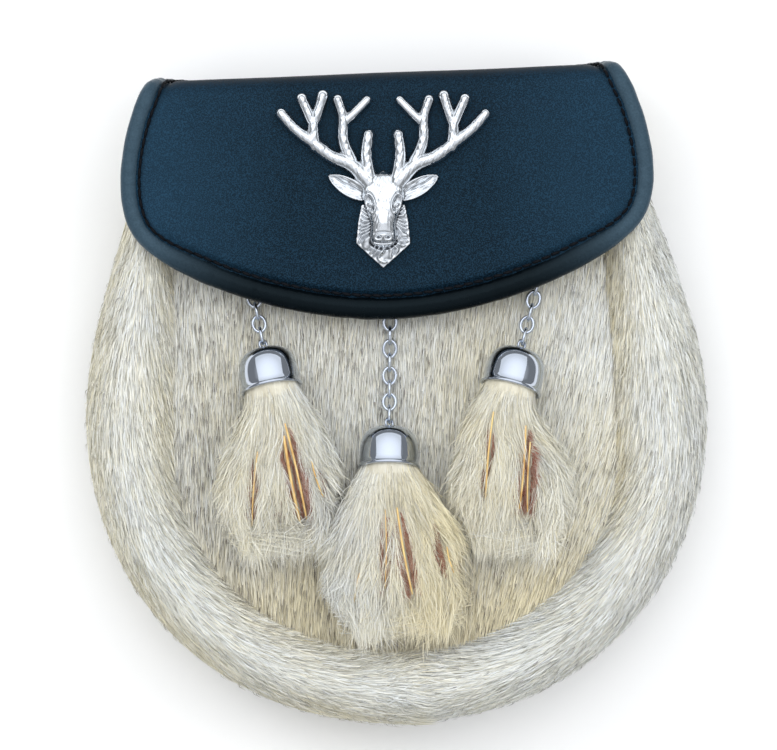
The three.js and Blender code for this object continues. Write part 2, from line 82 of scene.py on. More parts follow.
FOLD_Y = 91.2
FOLD_RADIUS = 5.5
FLAP_MID_Z = 49.6
FLAP_REAR_Z = 4.9
FLAP_LEATHER = 3
FLAP_DOME = 0.8
FLAP_BOTTOM_Y = 23.3
FLAP_TOP_HALF = 75.5  # half width where the fold starts
FLAP_FOLD_HALF = 71.5  # half width where the fold ends
FLAP_REAR_HALF = 61  # half width at the rear end
FLAP_REAR_LENGTH = 20
EDGE_WIDTH = 6.6  # of the rolled edge, along the bottom
EDGE_SIDE_WIDTH = 5.1
EDGE_THICKNESS = 5.4
FOLD_ARC = math.pi / 2 * FOLD_RADIUS
FOLD_WALL = FLAP_MID_Z - FLAP_REAR_Z - 2 * FOLD_RADIUS
FOLD_END = FOLD_ARC + FOLD_WALL

# Half outlines, right side, from the mouth to the bottom, each as a pair of cubic curves.
OUTER = [
    [(70, MOUTH_Y), (80, 51), (HALF_WIDTH, 23), (HALF_WIDTH, -6)],
    [(HALF_WIDTH, -6), (HALF_WIDTH, -60), (55, BOTTOM_Y), (0, BOTTOM_Y)],
]
SEAM = [
    [(64, MOUTH_Y), (65.5, 50), (68.5, 10), (68, -19)],
    [(68, -19), (66, -59), (30, -78.3), (0, -78.3)],
]
FLAP = [
    [(FLAP_TOP_HALF, FOLD_Y), (80, 80), (83.5, 63), (78, 52.5)],
    [(78, 52.5), (71, 39), (32, FLAP_BOTTOM_Y), (0, FLAP_BOTTOM_Y)],
]

# The bells over the tassels, all alike; they lie with the mouth tipped up by the tilt.
CAP = {"radius": 9.0, "height": 13.0, "wall": 1.0, "tilt": 14.0, "mouth_z": 52.0}



def table(keys, *rows):
    """Rows of a table as dictionaries."""
    return [dict(zip(keys.split(), row)) for row in rows]


# One row for each tassel: the middle of its cap's mouth, its lean in degrees, its fur's fan,
# length and half width, and how warm its coat is on the left and on the right.
TASSELS = dict(
    zip(
        ("left", "middle", "right"),
        table(
            "x y lean fan fall spread warm",
            (-37.3, 3.4, 9, 2, 52, 17, (0.55, 0.35)),
            (-2.9, -22, -2.7, 2, 52.5, 20.5, (0.3, 0.95)),
            (34.7, 0.6, -17, -2, 51, 16.5, (0.6, 0.45)),
        ),
    )
)

# Sections of a tassel's body down its length: share of its half width, height, and drop.
TASSEL_SECTIONS = table(
    "along wide high drop",
    (-0.09, 0.45, 7.4, 0),
    (0.0, 0.5, 8.0, 0),
    (0.13, 0.67, 8.8, 0),
    (0.42, 0.88, 8.6, 0.6),
    (0.72, 1.0, 7.6, 1.8),
    (0.9, 0.98, 5.4, 3.6),
    (1.0, 0.9, 2.0, 5.4),
)
BODY_SHARE = 0.8  # of a tassel's length that its body fills; the rest is hair
NECK_HALF = 8.3  # the body's half width inside its bell
TOP_SHARE = 0.78  # of a tassel's hairs that grow on its upper side

# Cut edges of the fur strips, each tassel's own: start and end across and down from the middle of
# the cap's mouth, the bare leather's width, and the width of the brown hair beside it.
CUT_KEYS = "start end bare brown"
CUTS = {
    "left": table(
        CUT_KEYS,
        ((-5.0, 18.5), (-7.7, 41), 0.6, 1.5),
        ((3.6, 10.3), (8.9, 39.5), 0.8, 2.4),
        ((3.1, 14), (6.9, 40.5), 1.1, 1.2),
        ((0.4, 31), (1.3, 40.5), 0, 0.9),
        ((11.2, 22), (14.2, 33), 0.6, 1.0),
    ),
    "middle": table(
        CUT_KEYS,
        ((2.0, 11.6), (5.6, 38), 0.8, 1.9),
        ((-1.6, 12), (-2.6, 36), 0.4, 1.1),
        ((-9.9, 31), (-12.2, 40), 0.8, 1.3),
        ((11.0, 15), (14.4, 33), 0, 1.2),
        ((16.6, 24), (18.4, 32), 0.6, 0.8),
    ),
    "right": table(
        CUT_KEYS,
        ((-5.4, 6.4), (-8.8, 32.8), 0.7, 0.6),
        ((4.2, 11), (1.4, 36), 0.8, 1.9),
        ((5.4, 16), (3.8, 37.2), 0.6, 1.6),
    ),
}

BADGE = {"x": -1.4, "y": 59.1, "turn": -2.3, "back_z": 52.2}
BADGE_STEP = 0.235  # of the grid that its relief is sampled on

BEAM = [(4.2, 5.6), (9.6, 11), (15.6, 13.5), (21, 17.5), (26.6, 21.7), (30.9, 26.4)]

# Antler branches of one side, from the forehead's middle: radius at root and tip, and route.
ANTLER = table(
    "root tip route",
    (1.75, 1.05, BEAM),
    (1.5, 1.15, [(3.9, 6), (5.1, 14), (4.5, 20.1)]),
    (1.35, 1.15, [(9.2, 11.4), (12, 18), (12.1, 24.5)]),
    (1.15, 0.95, [(12.1, 23.8), (12.6, 27), (13.8, 30.6)]),
    (1.1, 0.8, [(12.1, 23.6), (9, 26.4), (4.9, 30.5)]),
    (1.35, 1.15, [(20.6, 16.6), (21.1, 20), (21.2, 23.6)]),
    (1.15, 1.0, [(21.2, 23), (22.9, 27), (24.7, 30.9)]),
    (1.15, 1.05, [(21.2, 23), (19.6, 27.4), (18.3, 31.8)]),
)

# Sections of the stag's face from the chin to the poll.
FACE = table(
    "y half rise",
    (-13.9, 2.6, 3.2),
    (-12.2, 3.9, 4.6),
    (-10, 4.0, 5.2),
    (-7, 3.6, 5.1),
    (-3, 4.9, 4.8),
    (1, 6.4, 4.3),
    (4.5, 6.1, 3.6),
    (7, 4.6, 2.6),
    (8.6, 2.2, 1.6),
)
RUFF = [(6.6, -1), (7.6, -6), (8.3, -12.8), (4.4, -16.4), (0, -20.3)]

CAMERA = {"field": 0.2365, "distance": 3.2, "x": -0.0019, "y": 0.00649, "z": 0.033, "roll": -2.26}

# Soft lights: place, size, power and colour. Only the window shows in the bright metal.
LIGHTS = table(
    "name place size power colour mirrored",
    ("window", (0, 0.62, 0.8), (2.1, 1.25), 6.6, (0.93, 0.96, 1.0), True),
    ("left", (-0.9, 0.5, 0.75), (0.6, 0.6), 2.6, (1.0, 0.99, 0.95), False),
    ("right", (0.9, 0.1, 0.8), (0.6, 0.6), 2.2, (1.0, 0.99, 0.97), False),
    ("above", (0, 0.25, 1.4), (1.2, 1.0), 4.4, (1.0, 0.99, 0.96), False),
    ("near", (0, -0.95, 0.65), (0.8, 0.6), 2.0, (1.0, 0.98, 0.93), False),
)


# ---- Sizes and colours that a user may change ----


def length_property(name, description, default):
    settings = {"default": default, "unit": "LENGTH", "precision": 5}
    return FloatProperty(name=name, description=description, **settings)


def count_property(name, description, default):
    return IntProperty(name=name, description=description, default=default)


def colour_property(name, description, red, green, blue):
    linear = tuple(((c / 255 + 0.055) / 1.055) ** 2.4 for c in (red, green, blue))
    settings = {"default": linear, "subtype": "COLOR", "min": 0, "max": 1}
    return FloatVectorProperty(name=name, description=description, **settings)


class PouchSizes(bpy.types.PropertyGroup):
    hair_width: length_property("Hair width", "Widest part of one lock of coat hair", 0.00027)
    coat_length: length_property("Coat length", "Hair length on the front and the gusset", 0.0112)
    coat_height: length_property("Coat height", "How far the hair tips stand off the hide", 0.0015)
    tassel_hair: length_property("Tassel hair", "Hair length on the tassels", 0.0145)
    front_hairs: count_property("Front hairs", "Locks of hair on the front", 52000)
    gusset_hairs: count_property("Gusset hairs", "Locks of hair on each half gusset", 52000)
    tassel_hairs: count_property("Tassel hairs", "Locks of hair on each tassel", 27000)
    stitch_pitch: length_property("Stitch pitch", "From one stitch of the flap to the next", 0.0031)
    thread: length_property("Thread", "Thickness of the sewing thread", 0.00095)
    link_wire: length_property("Link wire", "Thickness of the wire of a chain link", 0.00105)


class PouchColours(bpy.types.PropertyGroup):
    cream: colour_property("Cream", "Warm hair of the coat", 245, 236, 204)
    white: colour_property("White", "Cool hair of the coat", 240, 243, 243)
    fleck: colour_property("Fleck", "Dark guard hairs", 84, 74, 68)
    brown: colour_property("Brown", "Hair beside the cut edges", 160, 92, 70)
    cut: colour_property("Cut edge", "Bare cut edge of a fur strip", 240, 204, 138)
    leather: colour_property("Leather", "Face of the flap", 6, 20, 30)
    edge: colour_property("Edge", "Rolled edge of the flap", 3, 9, 13)
    thread: colour_property("Thread", "Sewing thread", 4, 6, 10)
    chrome: colour_property("Chrome", "Bells and chain", 200, 207, 218)
    pewter: colour_property("Pewter", "Badge metal", 236, 240, 244)
    recess: colour_property("Recess", "Darkened hollows of the badge", 42, 46, 54)


def sizes_mm(context):
    """The user's lengths in millimetres, and the counts as they are."""
    group = context.scene.pouch_sizes
    sizes = {}
    for name in PouchSizes.__annotations__:
        value = getattr(group, name)
        sizes[name] = value if name.endswith("hairs") else value / MM
    return sizes


# ---- Shader maths as Python expressions ----


class Value:
    """A socket in a material, with arithmetic that adds Math nodes."""

    def __init__(self, paint, socket):
        self.paint = paint
        self.socket = socket

    def math(self, operation, first, second=0.0):
        return self.paint.node("ShaderNodeMath", {"operation": operation}, {0: first, 1: second})

    def __add__(self, other):
        return self.math("ADD", self, other)

    __radd__ = __add__

    def __sub__(self, other):
        return self.math("SUBTRACT", self, other)

    def __rsub__(self, other):
        return self.math("SUBTRACT", other, self)

    def __mul__(self, other):
        return self.math("MULTIPLY", self, other)

    __rmul__ = __mul__

    def clamped(self):
        return self.math("MAXIMUM", self.math("MINIMUM", self, 1.0), 0.0)


class Paint:
    """One procedural material, made node by node."""

    def __init__(self, name):
        self.material = bpy.data.materials.new(name)
        self.material.use_nodes = True
        self.tree = self.material.node_tree
        self.shader = self.tree.nodes["Principled BSDF"]
        self.place = self.node("ShaderNodeTexCoord", output="Object")

    def node(self, kind, settings=None, inputs=None, output=0):
        """Makes a node with its settings, then its values and links, and gives one output."""
        made = self.tree.nodes.new(kind)
        for key, value in (settings or {}).items():
            if key == "stops":
                self.set_stops(made.color_ramp, value)
            else:
                setattr(made, key, value)
        for key, value in (inputs or {}).items():
            self.join(made.inputs[key], value)
        return Value(self, made.outputs[output])

    def set_stops(self, ramp, stops):
        while len(ramp.elements) < len(stops):
            ramp.elements.new(1.0)
        for element, (position, colour) in zip(ramp.elements, stops):
            element.position = position
            element.color = (*colour, 1) if len(colour) == 3 else colour

    def join(self, socket, value):
        if isinstance(value, Value):
            self.tree.links.new(value.socket, socket)
        elif hasattr(value, "__len__") and socket.type == "RGBA" and len(value) == 3:
            socket.default_value = (*value, 1)
        else:
            socket.default_value = value

    def mix(self, factor, first, second, blend="MIX"):
        settings = {"data_type": "RGBA", "blend_type": blend}
        return self.node("ShaderNodeMix", settings, {0: factor, 6: first, 7: second}, output=2)

    def stretched(self, x, y, z):
        """The object's place, scaled along each axis."""
        inputs = {0: self.place, 1: (x, y, z)}
        return self.node("ShaderNodeVectorMath", {"operation": "MULTIPLY"}, inputs)

    def part(self, axis):
        """The object's place along one axis."""
        return self.node("ShaderNodeSeparateXYZ", None, {0: self.place}, output=axis)

    def noise(self, scale, detail=3.0, roughness=0.55, place=None):
        inputs = {"Vector": place or self.place, "Scale": scale}
        inputs.update({"Detail": detail, "Roughness": roughness})
        return self.node("ShaderNodeTexNoise", None, inputs)

    def cells(self, scale):
        return self.node("ShaderNodeTexVoronoi", None, {"Vector": self.place, "Scale": scale})

    def ramp(self, value, stops):
        return self.node("ShaderNodeValToRGB", {"stops": stops}, {0: value})

    def bump(self, height, strength, distance):
        inputs = {"Height": height, "Strength": strength, "Distance": distance}
        return self.node("ShaderNodeBump", None, inputs)

    def surface(self, **inputs):
        """Sets the shader's sockets, named with underscores for spaces."""
        for key, value in inputs.items():
            self.join(self.shader.inputs[key.replace("_", " ")], value)
        return self.material


def grey(level):
    return (level, level, level)


def finishes():
    """Every material of the pouch, made once."""
    colours = bpy.context.scene.pouch_colours
    return {
        "coat": coat_finish("coat_hair", colours),
        "hide": hide_finish("hide", colours),
        "leather": leather_finish("flap_leather", colours.leather, 0.5, 2500, 0.00006),
        "back": leather_finish("back_leather", colours.leather, 0.6, 900, 0.00012),
        "edge": rolled_finish("rolled_leather", colours.edge),
        "thread": thread_finish("thread", colours.thread),
        "chrome": chrome_finish("chrome", colours.chrome),
        "steel": steel_finish("chain_steel", colours.chrome),
        "pewter": pewter_finish("pewter", colours),
        "cut": cut_finish("cut_edge", colours.cut),
    }


def coat_finish(name, colours):
    """Hair whose lightness, warmth and brownness come with each strand."""
    paint = Paint(name)
    tone = paint.node("ShaderNodeAttribute", {"attribute_name": "coat"}, output="Vector")
    parts = paint.node("ShaderNodeSeparateXYZ", None, {0: tone}).socket.node
    light, warm, brown = (Value(paint, parts.outputs[i]) for i in range(3))
    pale = paint.mix(warm, tuple(colours.white), tuple(colours.cream))
    hair = paint.mix(light, tuple(colours.fleck), pale)
    shade = paint.noise(900, 2)
    hair = paint.mix(0.18 * shade, hair, grey(1.0), "MULTIPLY")
    hair = paint.mix(brown, hair, tuple(colours.brown))
    rough = 0.5 + 0.2 * shade
    return paint.surface(Base_Color=hair, Roughness=rough, Specular_IOR_Level=0.35)


def hide_finish(name, colours):
    """The dense undercoat close to the skin."""
    paint = Paint(name)
    streaks = paint.noise(420, 4, 0.65, paint.stretched(1, 0.22, 1))
    clouds = paint.noise(45, 3)
    pale = paint.mix(clouds, tuple(colours.white), tuple(colours.cream))
    dark = paint.mix(0.5, tuple(colours.cream), tuple(colours.fleck))
    coat = paint.mix((streaks * 1.6 - 0.3).clamped(), dark, pale)
    normal = paint.bump(streaks, 0.6, 0.0006)
    return paint.surface(Base_Color=coat, Roughness=0.75 + 0.15 * clouds, Normal=normal)


SHEEN_START = 0.03  # metres out from the flap's middle, where the painted sheen starts
FOLD_SHADE_TOP = 0.0506  # metres up; below this the leather is painted darker, a painted shade where it turns over the fold
COOL_SHEEN = (0.6, 0.85, 1.0, 1.0)
EDGE_SHEEN = (0.6, 0.86, 1.0, 1.0)


def painted_side_sheen(paint):
    """Grows from 0 in the flap's middle to 1 at its sides: the mask of a painted sheen that makes
    the leather paler there.
    """
    across = paint.part(0)
    return ((across.math("ABSOLUTE", across) - SHEEN_START) * 24).clamped()


def leather_finish(name, colour, rough, grain_scale, depth):
    """Black leather with a fine pebbled grain, paler on the grain's tops, with a painted sheen that
    pales it towards the sides and a painted shade that darkens it below a set height.
    """
    paint = Paint(name)
    grain = paint.cells(grain_scale) * 0.35 + paint.noise(grain_scale * 1.3, 2, 0.7) * 0.75
    tops = ((grain - 0.52) * 9).clamped()
    clouds = paint.noise(20, 3)
    pale = tuple(c * 8.5 + 0.003 for c in colour)
    # The grain's tops are paler, and the painted sheen pales the leather towards the sides.
    grain_and_sheen = 0.42 * tops + 0.3 * painted_side_sheen(paint) * (0.4 + 1.2 * clouds)
    face = paint.mix(grain_and_sheen, tuple(colour), pale)
    normal = paint.bump(grain, 0.5, depth)
    roughness = rough + 0.2 * tops - 0.1 * clouds
    paint.surface(Specular_IOR_Level=0.13, Specular_Tint=COOL_SHEEN)
    # Painted shade: the leather is painted towards black below this height, which on the flap is
    # where it turns over the fold.
    shade = ((FOLD_SHADE_TOP - paint.part(2)) * 260).clamped() * 0.62
    face = paint.mix(shade, face, grey(0.0))
    return paint.surface(Base_Color=face, Roughness=roughness, Normal=normal)


def rolled_finish(name, colour):
    """Smoother, polished leather with fine creases where it is turned over; its sides are painted
    paler as a painted sheen.
    """
    paint = Paint(name)
    creases = paint.noise(240, 4, 0.6)
    fine = paint.noise(1500, 2)
    pale = tuple(c * 28 + 0.016 for c in colour)
    # Painted sheen: the roll is painted paler towards the flap's sides.
    painted_sheen = painted_side_sheen(paint)
    tint = paint.mix(painted_sheen * painted_sheen * painted_sheen * (0.5 + 0.5 * fine), tuple(colour), pale)
    normal = paint.bump(creases * 0.8 + fine * 0.25, 0.6, 0.0003)
    paint.surface(Specular_IOR_Level=0.14, Specular_Tint=EDGE_SHEEN)
    return paint.surface(Base_Color=tint, Roughness=0.2 + 0.16 * creases, Normal=normal)


def thread_finish(name, colour):
    """Waxed thread, ribbed by its twist."""
    paint = Paint(name)
    twist = paint.noise(2600, 2)
    tint = paint.mix(twist, tuple(colour), tuple(min(1.0, c * 3) for c in colour))
    normal = paint.bump(twist, 0.5, 0.0001)
    paint.surface(Specular_IOR_Level=0.15)
    return paint.surface(Base_Color=tint, Roughness=0.55 + 0.2 * twist, Normal=normal)


def chrome_finish(name, colour):
    """Polished plating with faint handling marks."""
    paint = Paint(name)
    haze = paint.noise(160, 4, 0.65)
    rough = 0.035 + 0.05 * haze
    tint = paint.mix(0.25 * haze, tuple(colour), tuple(c * 0.82 for c in colour))
    normal = paint.bump(paint.noise(70, 2), 0.05, 0.0004)
    return paint.surface(Base_Color=tint, Metallic=1.0, Roughness=rough, Normal=normal)


def steel_finish(name, colour):
    """Small plated wire, a little rubbed in patches."""
    paint = Paint(name)
    wear = paint.noise(700, 3)
    bright, grain_and_sheen = tuple(min(1, c * 1.35) for c in colour), tuple(c * 0.7 for c in colour)
    tint = paint.mix(0.4 * wear, bright, grain_and_sheen)
    return paint.surface(Base_Color=tint, Metallic=1.0, Roughness=0.12 + 0.14 * wear)


def pewter_finish(name, colours):
    """Bright cast metal, darkened in the hollows that its recess attribute marks."""
    paint = Paint(name)
    recess = paint.node("ShaderNodeAttribute", {"attribute_name": "recess"}, output="Fac")
    grain = paint.noise(1500, 3, 0.6)
    patches = paint.noise(260, 3)
    dark = (recess + (patches - 0.55) * 0.25).clamped()
    tint = paint.mix(dark, tuple(colours.pewter), tuple(colours.recess))
    rough = 0.13 + 0.3 * dark + 0.08 * grain
    normal = paint.bump(grain + patches * 0.6, 0.16, 0.00012)
    return paint.surface(Base_Color=tint, Metallic=1.0, Roughness=rough, Normal=normal)


def cut_finish(name, colour):
    """The cut edge of tanned hide, golden with pale and rusty streaks."""
    paint = Paint(name)
    streaks = paint.noise(500, 3, 0.6, paint.stretched(1, 0.15, 1))
    stops = [
        (0.3, tuple(c * s for c, s in zip(colour, (0.78, 0.6, 0.42)))),
        (0.5, tuple(colour)),
        (0.72, tuple(min(1, c * 1.25 + 0.05) for c in colour)),
    ]
    tint = paint.ramp(streaks, stops)
    return paint.surface(Base_Color=tint, Roughness=0.45 + 0.2 * streaks)


# ---- Meshes ----


def add_piece(name, points, quads, triangles, finish, slot, replaces=(), smooth=True):
    """A mesh from millimetre points, riding on the frame's one body."""
    quads = np.asarray(quads, np.int32).reshape(-1, 4)
    triangles = np.asarray(triangles, np.int32).reshape(-1, 3)
    mesh = bpy.data.meshes.new(name)
    mesh.vertices.add(len(points))
    mesh.vertices.foreach_set("co", (np.asarray(points, float) * MM).astype(np.float32).ravel())
    corners = np.concatenate([quads.ravel(), triangles.ravel()])
    mesh.loops.add(len(corners))
    mesh.loops.foreach_set("vertex_index", corners)
    sizes = np.concatenate([np.full(len(quads), 4), np.full(len(triangles), 3)])
    mesh.polygons.add(len(sizes))
    starts = np.concatenate([[0], np.cumsum(sizes)[:-1]]).astype(np.int32)
    mesh.polygons.foreach_set("loop_start", starts)
    mesh.polygons.foreach_set("use_smooth", np.full(len(sizes), smooth))
    mesh.update(calc_edges=True)
    if mesh.validate():
        raise RuntimeError(f"{name} has faces that are not valid")
    mesh.materials.append(finish)
    piece = bpy.data.objects.new(name, mesh)
    bpy.context.scene.collection.objects.link(piece)
    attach(piece, "root")
    if replaces:
        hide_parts(*replaces)
    return piece


def add_attribute(piece, name, kind, key, values):
    """A value for each point, which the piece's material reads by name."""
    attribute = piece.data.attributes.new(name, kind, "POINT")
    attribute.data.foreach_set(key, values.astype(np.float32).ravel())


def grid_quads(rows, columns, wrap=False):
    """Quads of a grid whose points are stored row by row."""
    r, c = np.meshgrid(np.arange(rows - 1), np.arange(columns - (0 if wrap else 1)), indexing="ij")
    r, c = r.ravel(), c.ravel()
    d = (c + 1) % columns
    here, there = r * columns, (r + 1) * columns
    return np.stack([here + c, here + d, there + d, there + c], axis=1)


def join_parts(parts):
    """Several (points, quads, triangles) as one."""
    points, quads, triangles = [], [], []
    count = 0
    for part_points, part_quads, part_triangles in parts:
        points.append(part_points)
        quads.append(np.asarray(part_quads, np.int64).reshape(-1, 4) + count)
        triangles.append(np.asarray(part_triangles, np.int64).reshape(-1, 3) + count)
        count += len(part_points)
    return np.vstack(points), np.vstack(quads), np.vstack(triangles)


def capped_loft(rings):
    """A closed skin over rings (n, m, 3), each end filled by a fan about its middle."""
    rows, columns = rings.shape[:2]
    points = np.vstack([rings.reshape(-1, 3), rings[0].mean(0), rings[-1].mean(0)])
    quads = grid_quads(rows, columns, wrap=True)
    here = np.arange(columns)
    ahead = (here + 1) % columns
    first, last = rows * columns, rows * columns + 1
    end = (rows - 1) * columns
    start_fan = np.stack([np.full(columns, first), ahead, here], axis=1)
    end_fan = np.stack([np.full(columns, last), end + here, end + ahead], axis=1)
    return points, quads, np.vstack([start_fan, end_fan])


def folded_skin(outer, inner, turned):
    """A closed skin of an outer and an inner sheet of points, each end closed by a strip."""
    rings = np.concatenate([outer, inner[:, ::-1]], axis=1)
    rows, width = rings.shape[:2]
    quads = grid_quads(rows, width, wrap=True)
    here = np.arange(outer.shape[1] - 1)
    across = width - 1 - here
    strip = np.stack([here, here + 1, across - 1, across], axis=1)
    start, end = strip, strip + (rows - 1) * width
    if turned:
        quads, end = quads[:, ::-1], end[:, ::-1]
    else:
        start = start[:, ::-1]
    return rings.reshape(-1, 3), np.vstack([quads, start, end])


def unit(vectors):
    return vectors / np.maximum(np.linalg.norm(vectors, axis=-1, keepdims=True), 1e-9)


def tube(route, radius, sides, up, flat=1.0):
    """A round wire along route (n, 3) with its radius at each point; flat squeezes it along up."""
    along = unit(np.gradient(route, axis=0))
    side = unit(np.cross(along, up))
    rise = np.cross(side, along)
    turn = np.linspace(0, 2 * math.pi, sides, endpoint=False)
    radius = np.broadcast_to(radius, len(route))[:, None, None]
    across, over = np.cos(turn)[None, :, None], flat * np.sin(turn)[None, :, None]
    ring = across * side[:, None] + over * rise[:, None]
    return capped_loft(route[:, None] + radius * ring)


def smooth_step(low, high, value):
    share = np.clip((value - low) / (high - low), 0, 1)
    return share * share * (3 - 2 * share)


def hump(value, width, power=2):
    """A smooth bell curve, 1 where value is 0."""
    return np.exp(-((value / width) ** power))


def drift(points, wavelength, seed, waves=7):
    """A smooth uneven field over points, about -1 to 1, the same for the same seed."""
    points = np.asarray(points, float)
    rng = np.random.default_rng(seed)
    total = np.zeros(points.shape[:-1])
    for _ in range(waves):
        direction = rng.normal(size=points.shape[-1])
        direction *= 2 * math.pi / (wavelength * rng.uniform(0.7, 1.6) * np.linalg.norm(direction))
        total += np.sin(points @ direction + rng.uniform(0, 2 * math.pi))
    return total * 1.5 / waves


# ---- Outlines ----


def bezier(corners, steps):
    t = np.linspace(0, 1, steps + 1)[:, None]
    a, b, c, d = (np.array(p, float) for p in corners)
    return a * (1 - t) ** 3 + 3 * b * t * (1 - t) ** 2 + 3 * c * t * t * (1 - t) + d * t**3


def half_outline(curves, steps):
    upper, lower = (bezier(corners, steps) for corners in curves)
    return np.vstack([upper, lower[1:]])


def both_sides(half):
    """A line that ends on the middle, with its mirror image after it."""
    return np.vstack([half, half[:-1][::-1] * [-1, 1]])


def lengths_along(points):
    """How far along a line each of its points is."""
    steps = np.linalg.norm(np.diff(points, axis=0), axis=1)
    return np.concatenate([[0], np.cumsum(steps)])


def evenly(points, count):
    """The same line with its points an equal distance apart."""
    length = lengths_along(points)
    wanted = np.linspace(0, length[-1], count)
    return np.stack([np.interp(wanted, length, column) for column in points.T], axis=1)


def line_distance(points, line):
    """How far points (n, 2) are from a line (m, 2), and how far along it the nearest place is."""
    starts, spans = line[:-1], np.diff(line, axis=0)
    lengths = np.linalg.norm(spans, axis=1)
    total = np.concatenate([[0], np.cumsum(lengths)])
    best = np.full(len(points), 1e9)
    along = np.zeros(len(points))
    for start, span, length, before in zip(starts, spans, lengths, total):
        share = np.clip((points - start) @ span / max(length**2, 1e-12), 0, 1)
        away = np.linalg.norm(points - start - share[:, None] * span, axis=1)
        nearer = away < best
        best[nearer] = away[nearer]
        along[nearer] = (before + share * length)[nearer] / total[-1]
    return best, along


def grid_distance(x, y, line):
    """The same for places given as grids of x and y."""
    away, along = line_distance(np.stack([x.ravel(), y.ravel()], 1), line)
    return away.reshape(x.shape), along.reshape(x.shape)


# ---- Hides and the hair that grows on them ----


class Hide:
    """A curved skin given as rows and columns of points; hair is combed along its rows."""

    def __init__(self, points, wrap=False):
        self.points = points
        self.wrap = wrap
        self.down = np.gradient(points, axis=0)
        if wrap:
            self.across = (np.roll(points, -1, axis=1) - np.roll(points, 1, axis=1)) / 2
        else:
            self.across = np.gradient(points, axis=1)
        self.normal = unit(np.cross(self.down, self.across))

    def turned_over(self):
        self.normal = -self.normal
        return self

    def at(self, field, a, b):
        rows, columns = self.points.shape[:2]
        a = np.clip(a, 0, rows - 1.0001)
        b = np.mod(b, columns) if self.wrap else np.clip(b, 0, columns - 1.0001)
        i, j = a.astype(int), b.astype(int)
        k = (j + 1) % columns
        u, v = (a - i)[:, None], (b - j)[:, None]
        upper = field[i, j] * (1 - v) + field[i, k] * v
        lower = field[i + 1, j] * (1 - v) + field[i + 1, k] * v
        return upper * (1 - u) + lower * u

    def place(self, a, b):
        """The point at row a and column b; past the skin's edge it goes on level."""
        rows, columns = self.points.shape[:2]
        over_a = a - np.clip(a, 0, rows - 1)
        over_b = 0 * b if self.wrap else b - np.clip(b, 0, columns - 1)
        down, across = self.at(self.down, a, b), self.at(self.across, a, b)
        beyond = over_a[:, None] * down + over_b[:, None] * across
        beyond[:, 2] *= 0.25
        return self.at(self.points, a, b) + beyond

    def comb(self, a, b, heading, bend, length, height, rings=3, lie=4.0):
        """Paths (n, rings, 3) of hairs that leave the skin and lie down along it. The heading is
        in radians from the rows' own run towards higher columns, and grows by bend to the tip;
        the higher lie is, the sooner the hair reaches its height."""
        path = []
        normal = unit(self.at(self.normal, a, b))
        step = length / (rings - 1)
        for i in range(rings):
            share = i / (rings - 1)
            lift = height * (1 - (1 - share) ** lie) - 0.3
            path.append(self.place(a, b) + normal * lift[:, None])
            down, across = self.at(self.down, a, b), self.at(self.across, a, b)
            ahead = unit(down)
            side = unit(across - ahead * np.sum(across * ahead, axis=1, keepdims=True))
            angle = heading + bend * share
            wanted = ahead * np.cos(angle)[:, None] + side * np.sin(angle)[:, None]
            # The step along the skin, solved for how far it goes in rows and in columns.
            products = [(down, down), (across, across), (down, across)]
            products += [(wanted, down), (wanted, across)]
            dd, aa, da, wd, wa = (np.sum(p * q, axis=1) for p, q in products)
            scale = np.maximum(dd * aa - da * da, 1e-9)
            a = a + step * (wd * aa - wa * da) / scale
            b = b + step * (wa * dd - wd * da) / scale
            normal = unit(self.at(self.normal, a, b))
        return np.stack(path, axis=1), normal


def add_hair(name, paths, normals, width, coat, roll, finish, slot, replaces=()):
    """Tapered locks of hair as one mesh. paths and coat are (n, rings, 3)."""
    count, rings = paths.shape[:2]
    pairs = 2 * (rings - 1)
    paths[..., 2] = np.maximum(paths[..., 2], FLOOR_GAP)
    along = unit(np.gradient(paths, axis=1))
    side = unit(np.cross(along, normals[:, None]))
    rise = np.cross(side, along)
    turn = roll[:, None, None]
    across = side * np.cos(turn) + rise * np.sin(turn)
    taper = np.interp(np.linspace(0, 1, rings)[:-1], [0, 0.35, 0.7], [0.75, 1.0, 0.8])
    half = width[:, None, None] / 2 * taper[None, :, None]
    left = paths[:, :-1] - across[:, :-1] * half
    right = paths[:, :-1] + across[:, :-1] * half
    sides = np.stack([left, right], axis=2).reshape(count, pairs, 3)
    points = np.concatenate([sides, paths[:, -1:]], axis=1)
    points[..., 2] = np.maximum(points[..., 2], FLOOR_GAP)
    first = np.arange(count)[:, None] * (pairs + 1)
    quads = np.concatenate([first + [k, k + 1, k + 3, k + 2] for k in range(0, pairs - 2, 2)])
    triangles = first + [pairs - 2, pairs - 1, pairs]
    piece = add_piece(name, points.reshape(-1, 3), quads, triangles, finish, slot, replaces)
    tones = np.concatenate([np.repeat(coat[:, :-1], 2, axis=1), coat[:, -1:]], axis=1)
    add_attribute(piece, "coat", "FLOAT_VECTOR", "vector", tones)
    lay_out_locks(piece.data, count, rings)


def lay_out_locks(mesh, count, rings):
    """A map with a cell of its own for each lock, for the bake."""
    cells = math.ceil(math.sqrt(count))
    heights = np.linspace(0.1, 0.9, rings)
    corner = np.array([(x, y) for y in heights[:-1] for x in (0.2, 0.8)] + [(0.5, heights[-1])])
    number = np.arange(count)
    origin = np.stack([number % cells, number // cells], axis=1)
    flat = ((origin[:, None] + corner[None]) / cells).reshape(-1, 2)
    corners = np.zeros(len(mesh.loops), np.int32)
    mesh.loops.foreach_get("vertex_index", corners)
    layer = mesh.uv_layers.new(name="OFBake")
    layer.data.foreach_set("uv", flat[corners].astype(np.float32).ravel())


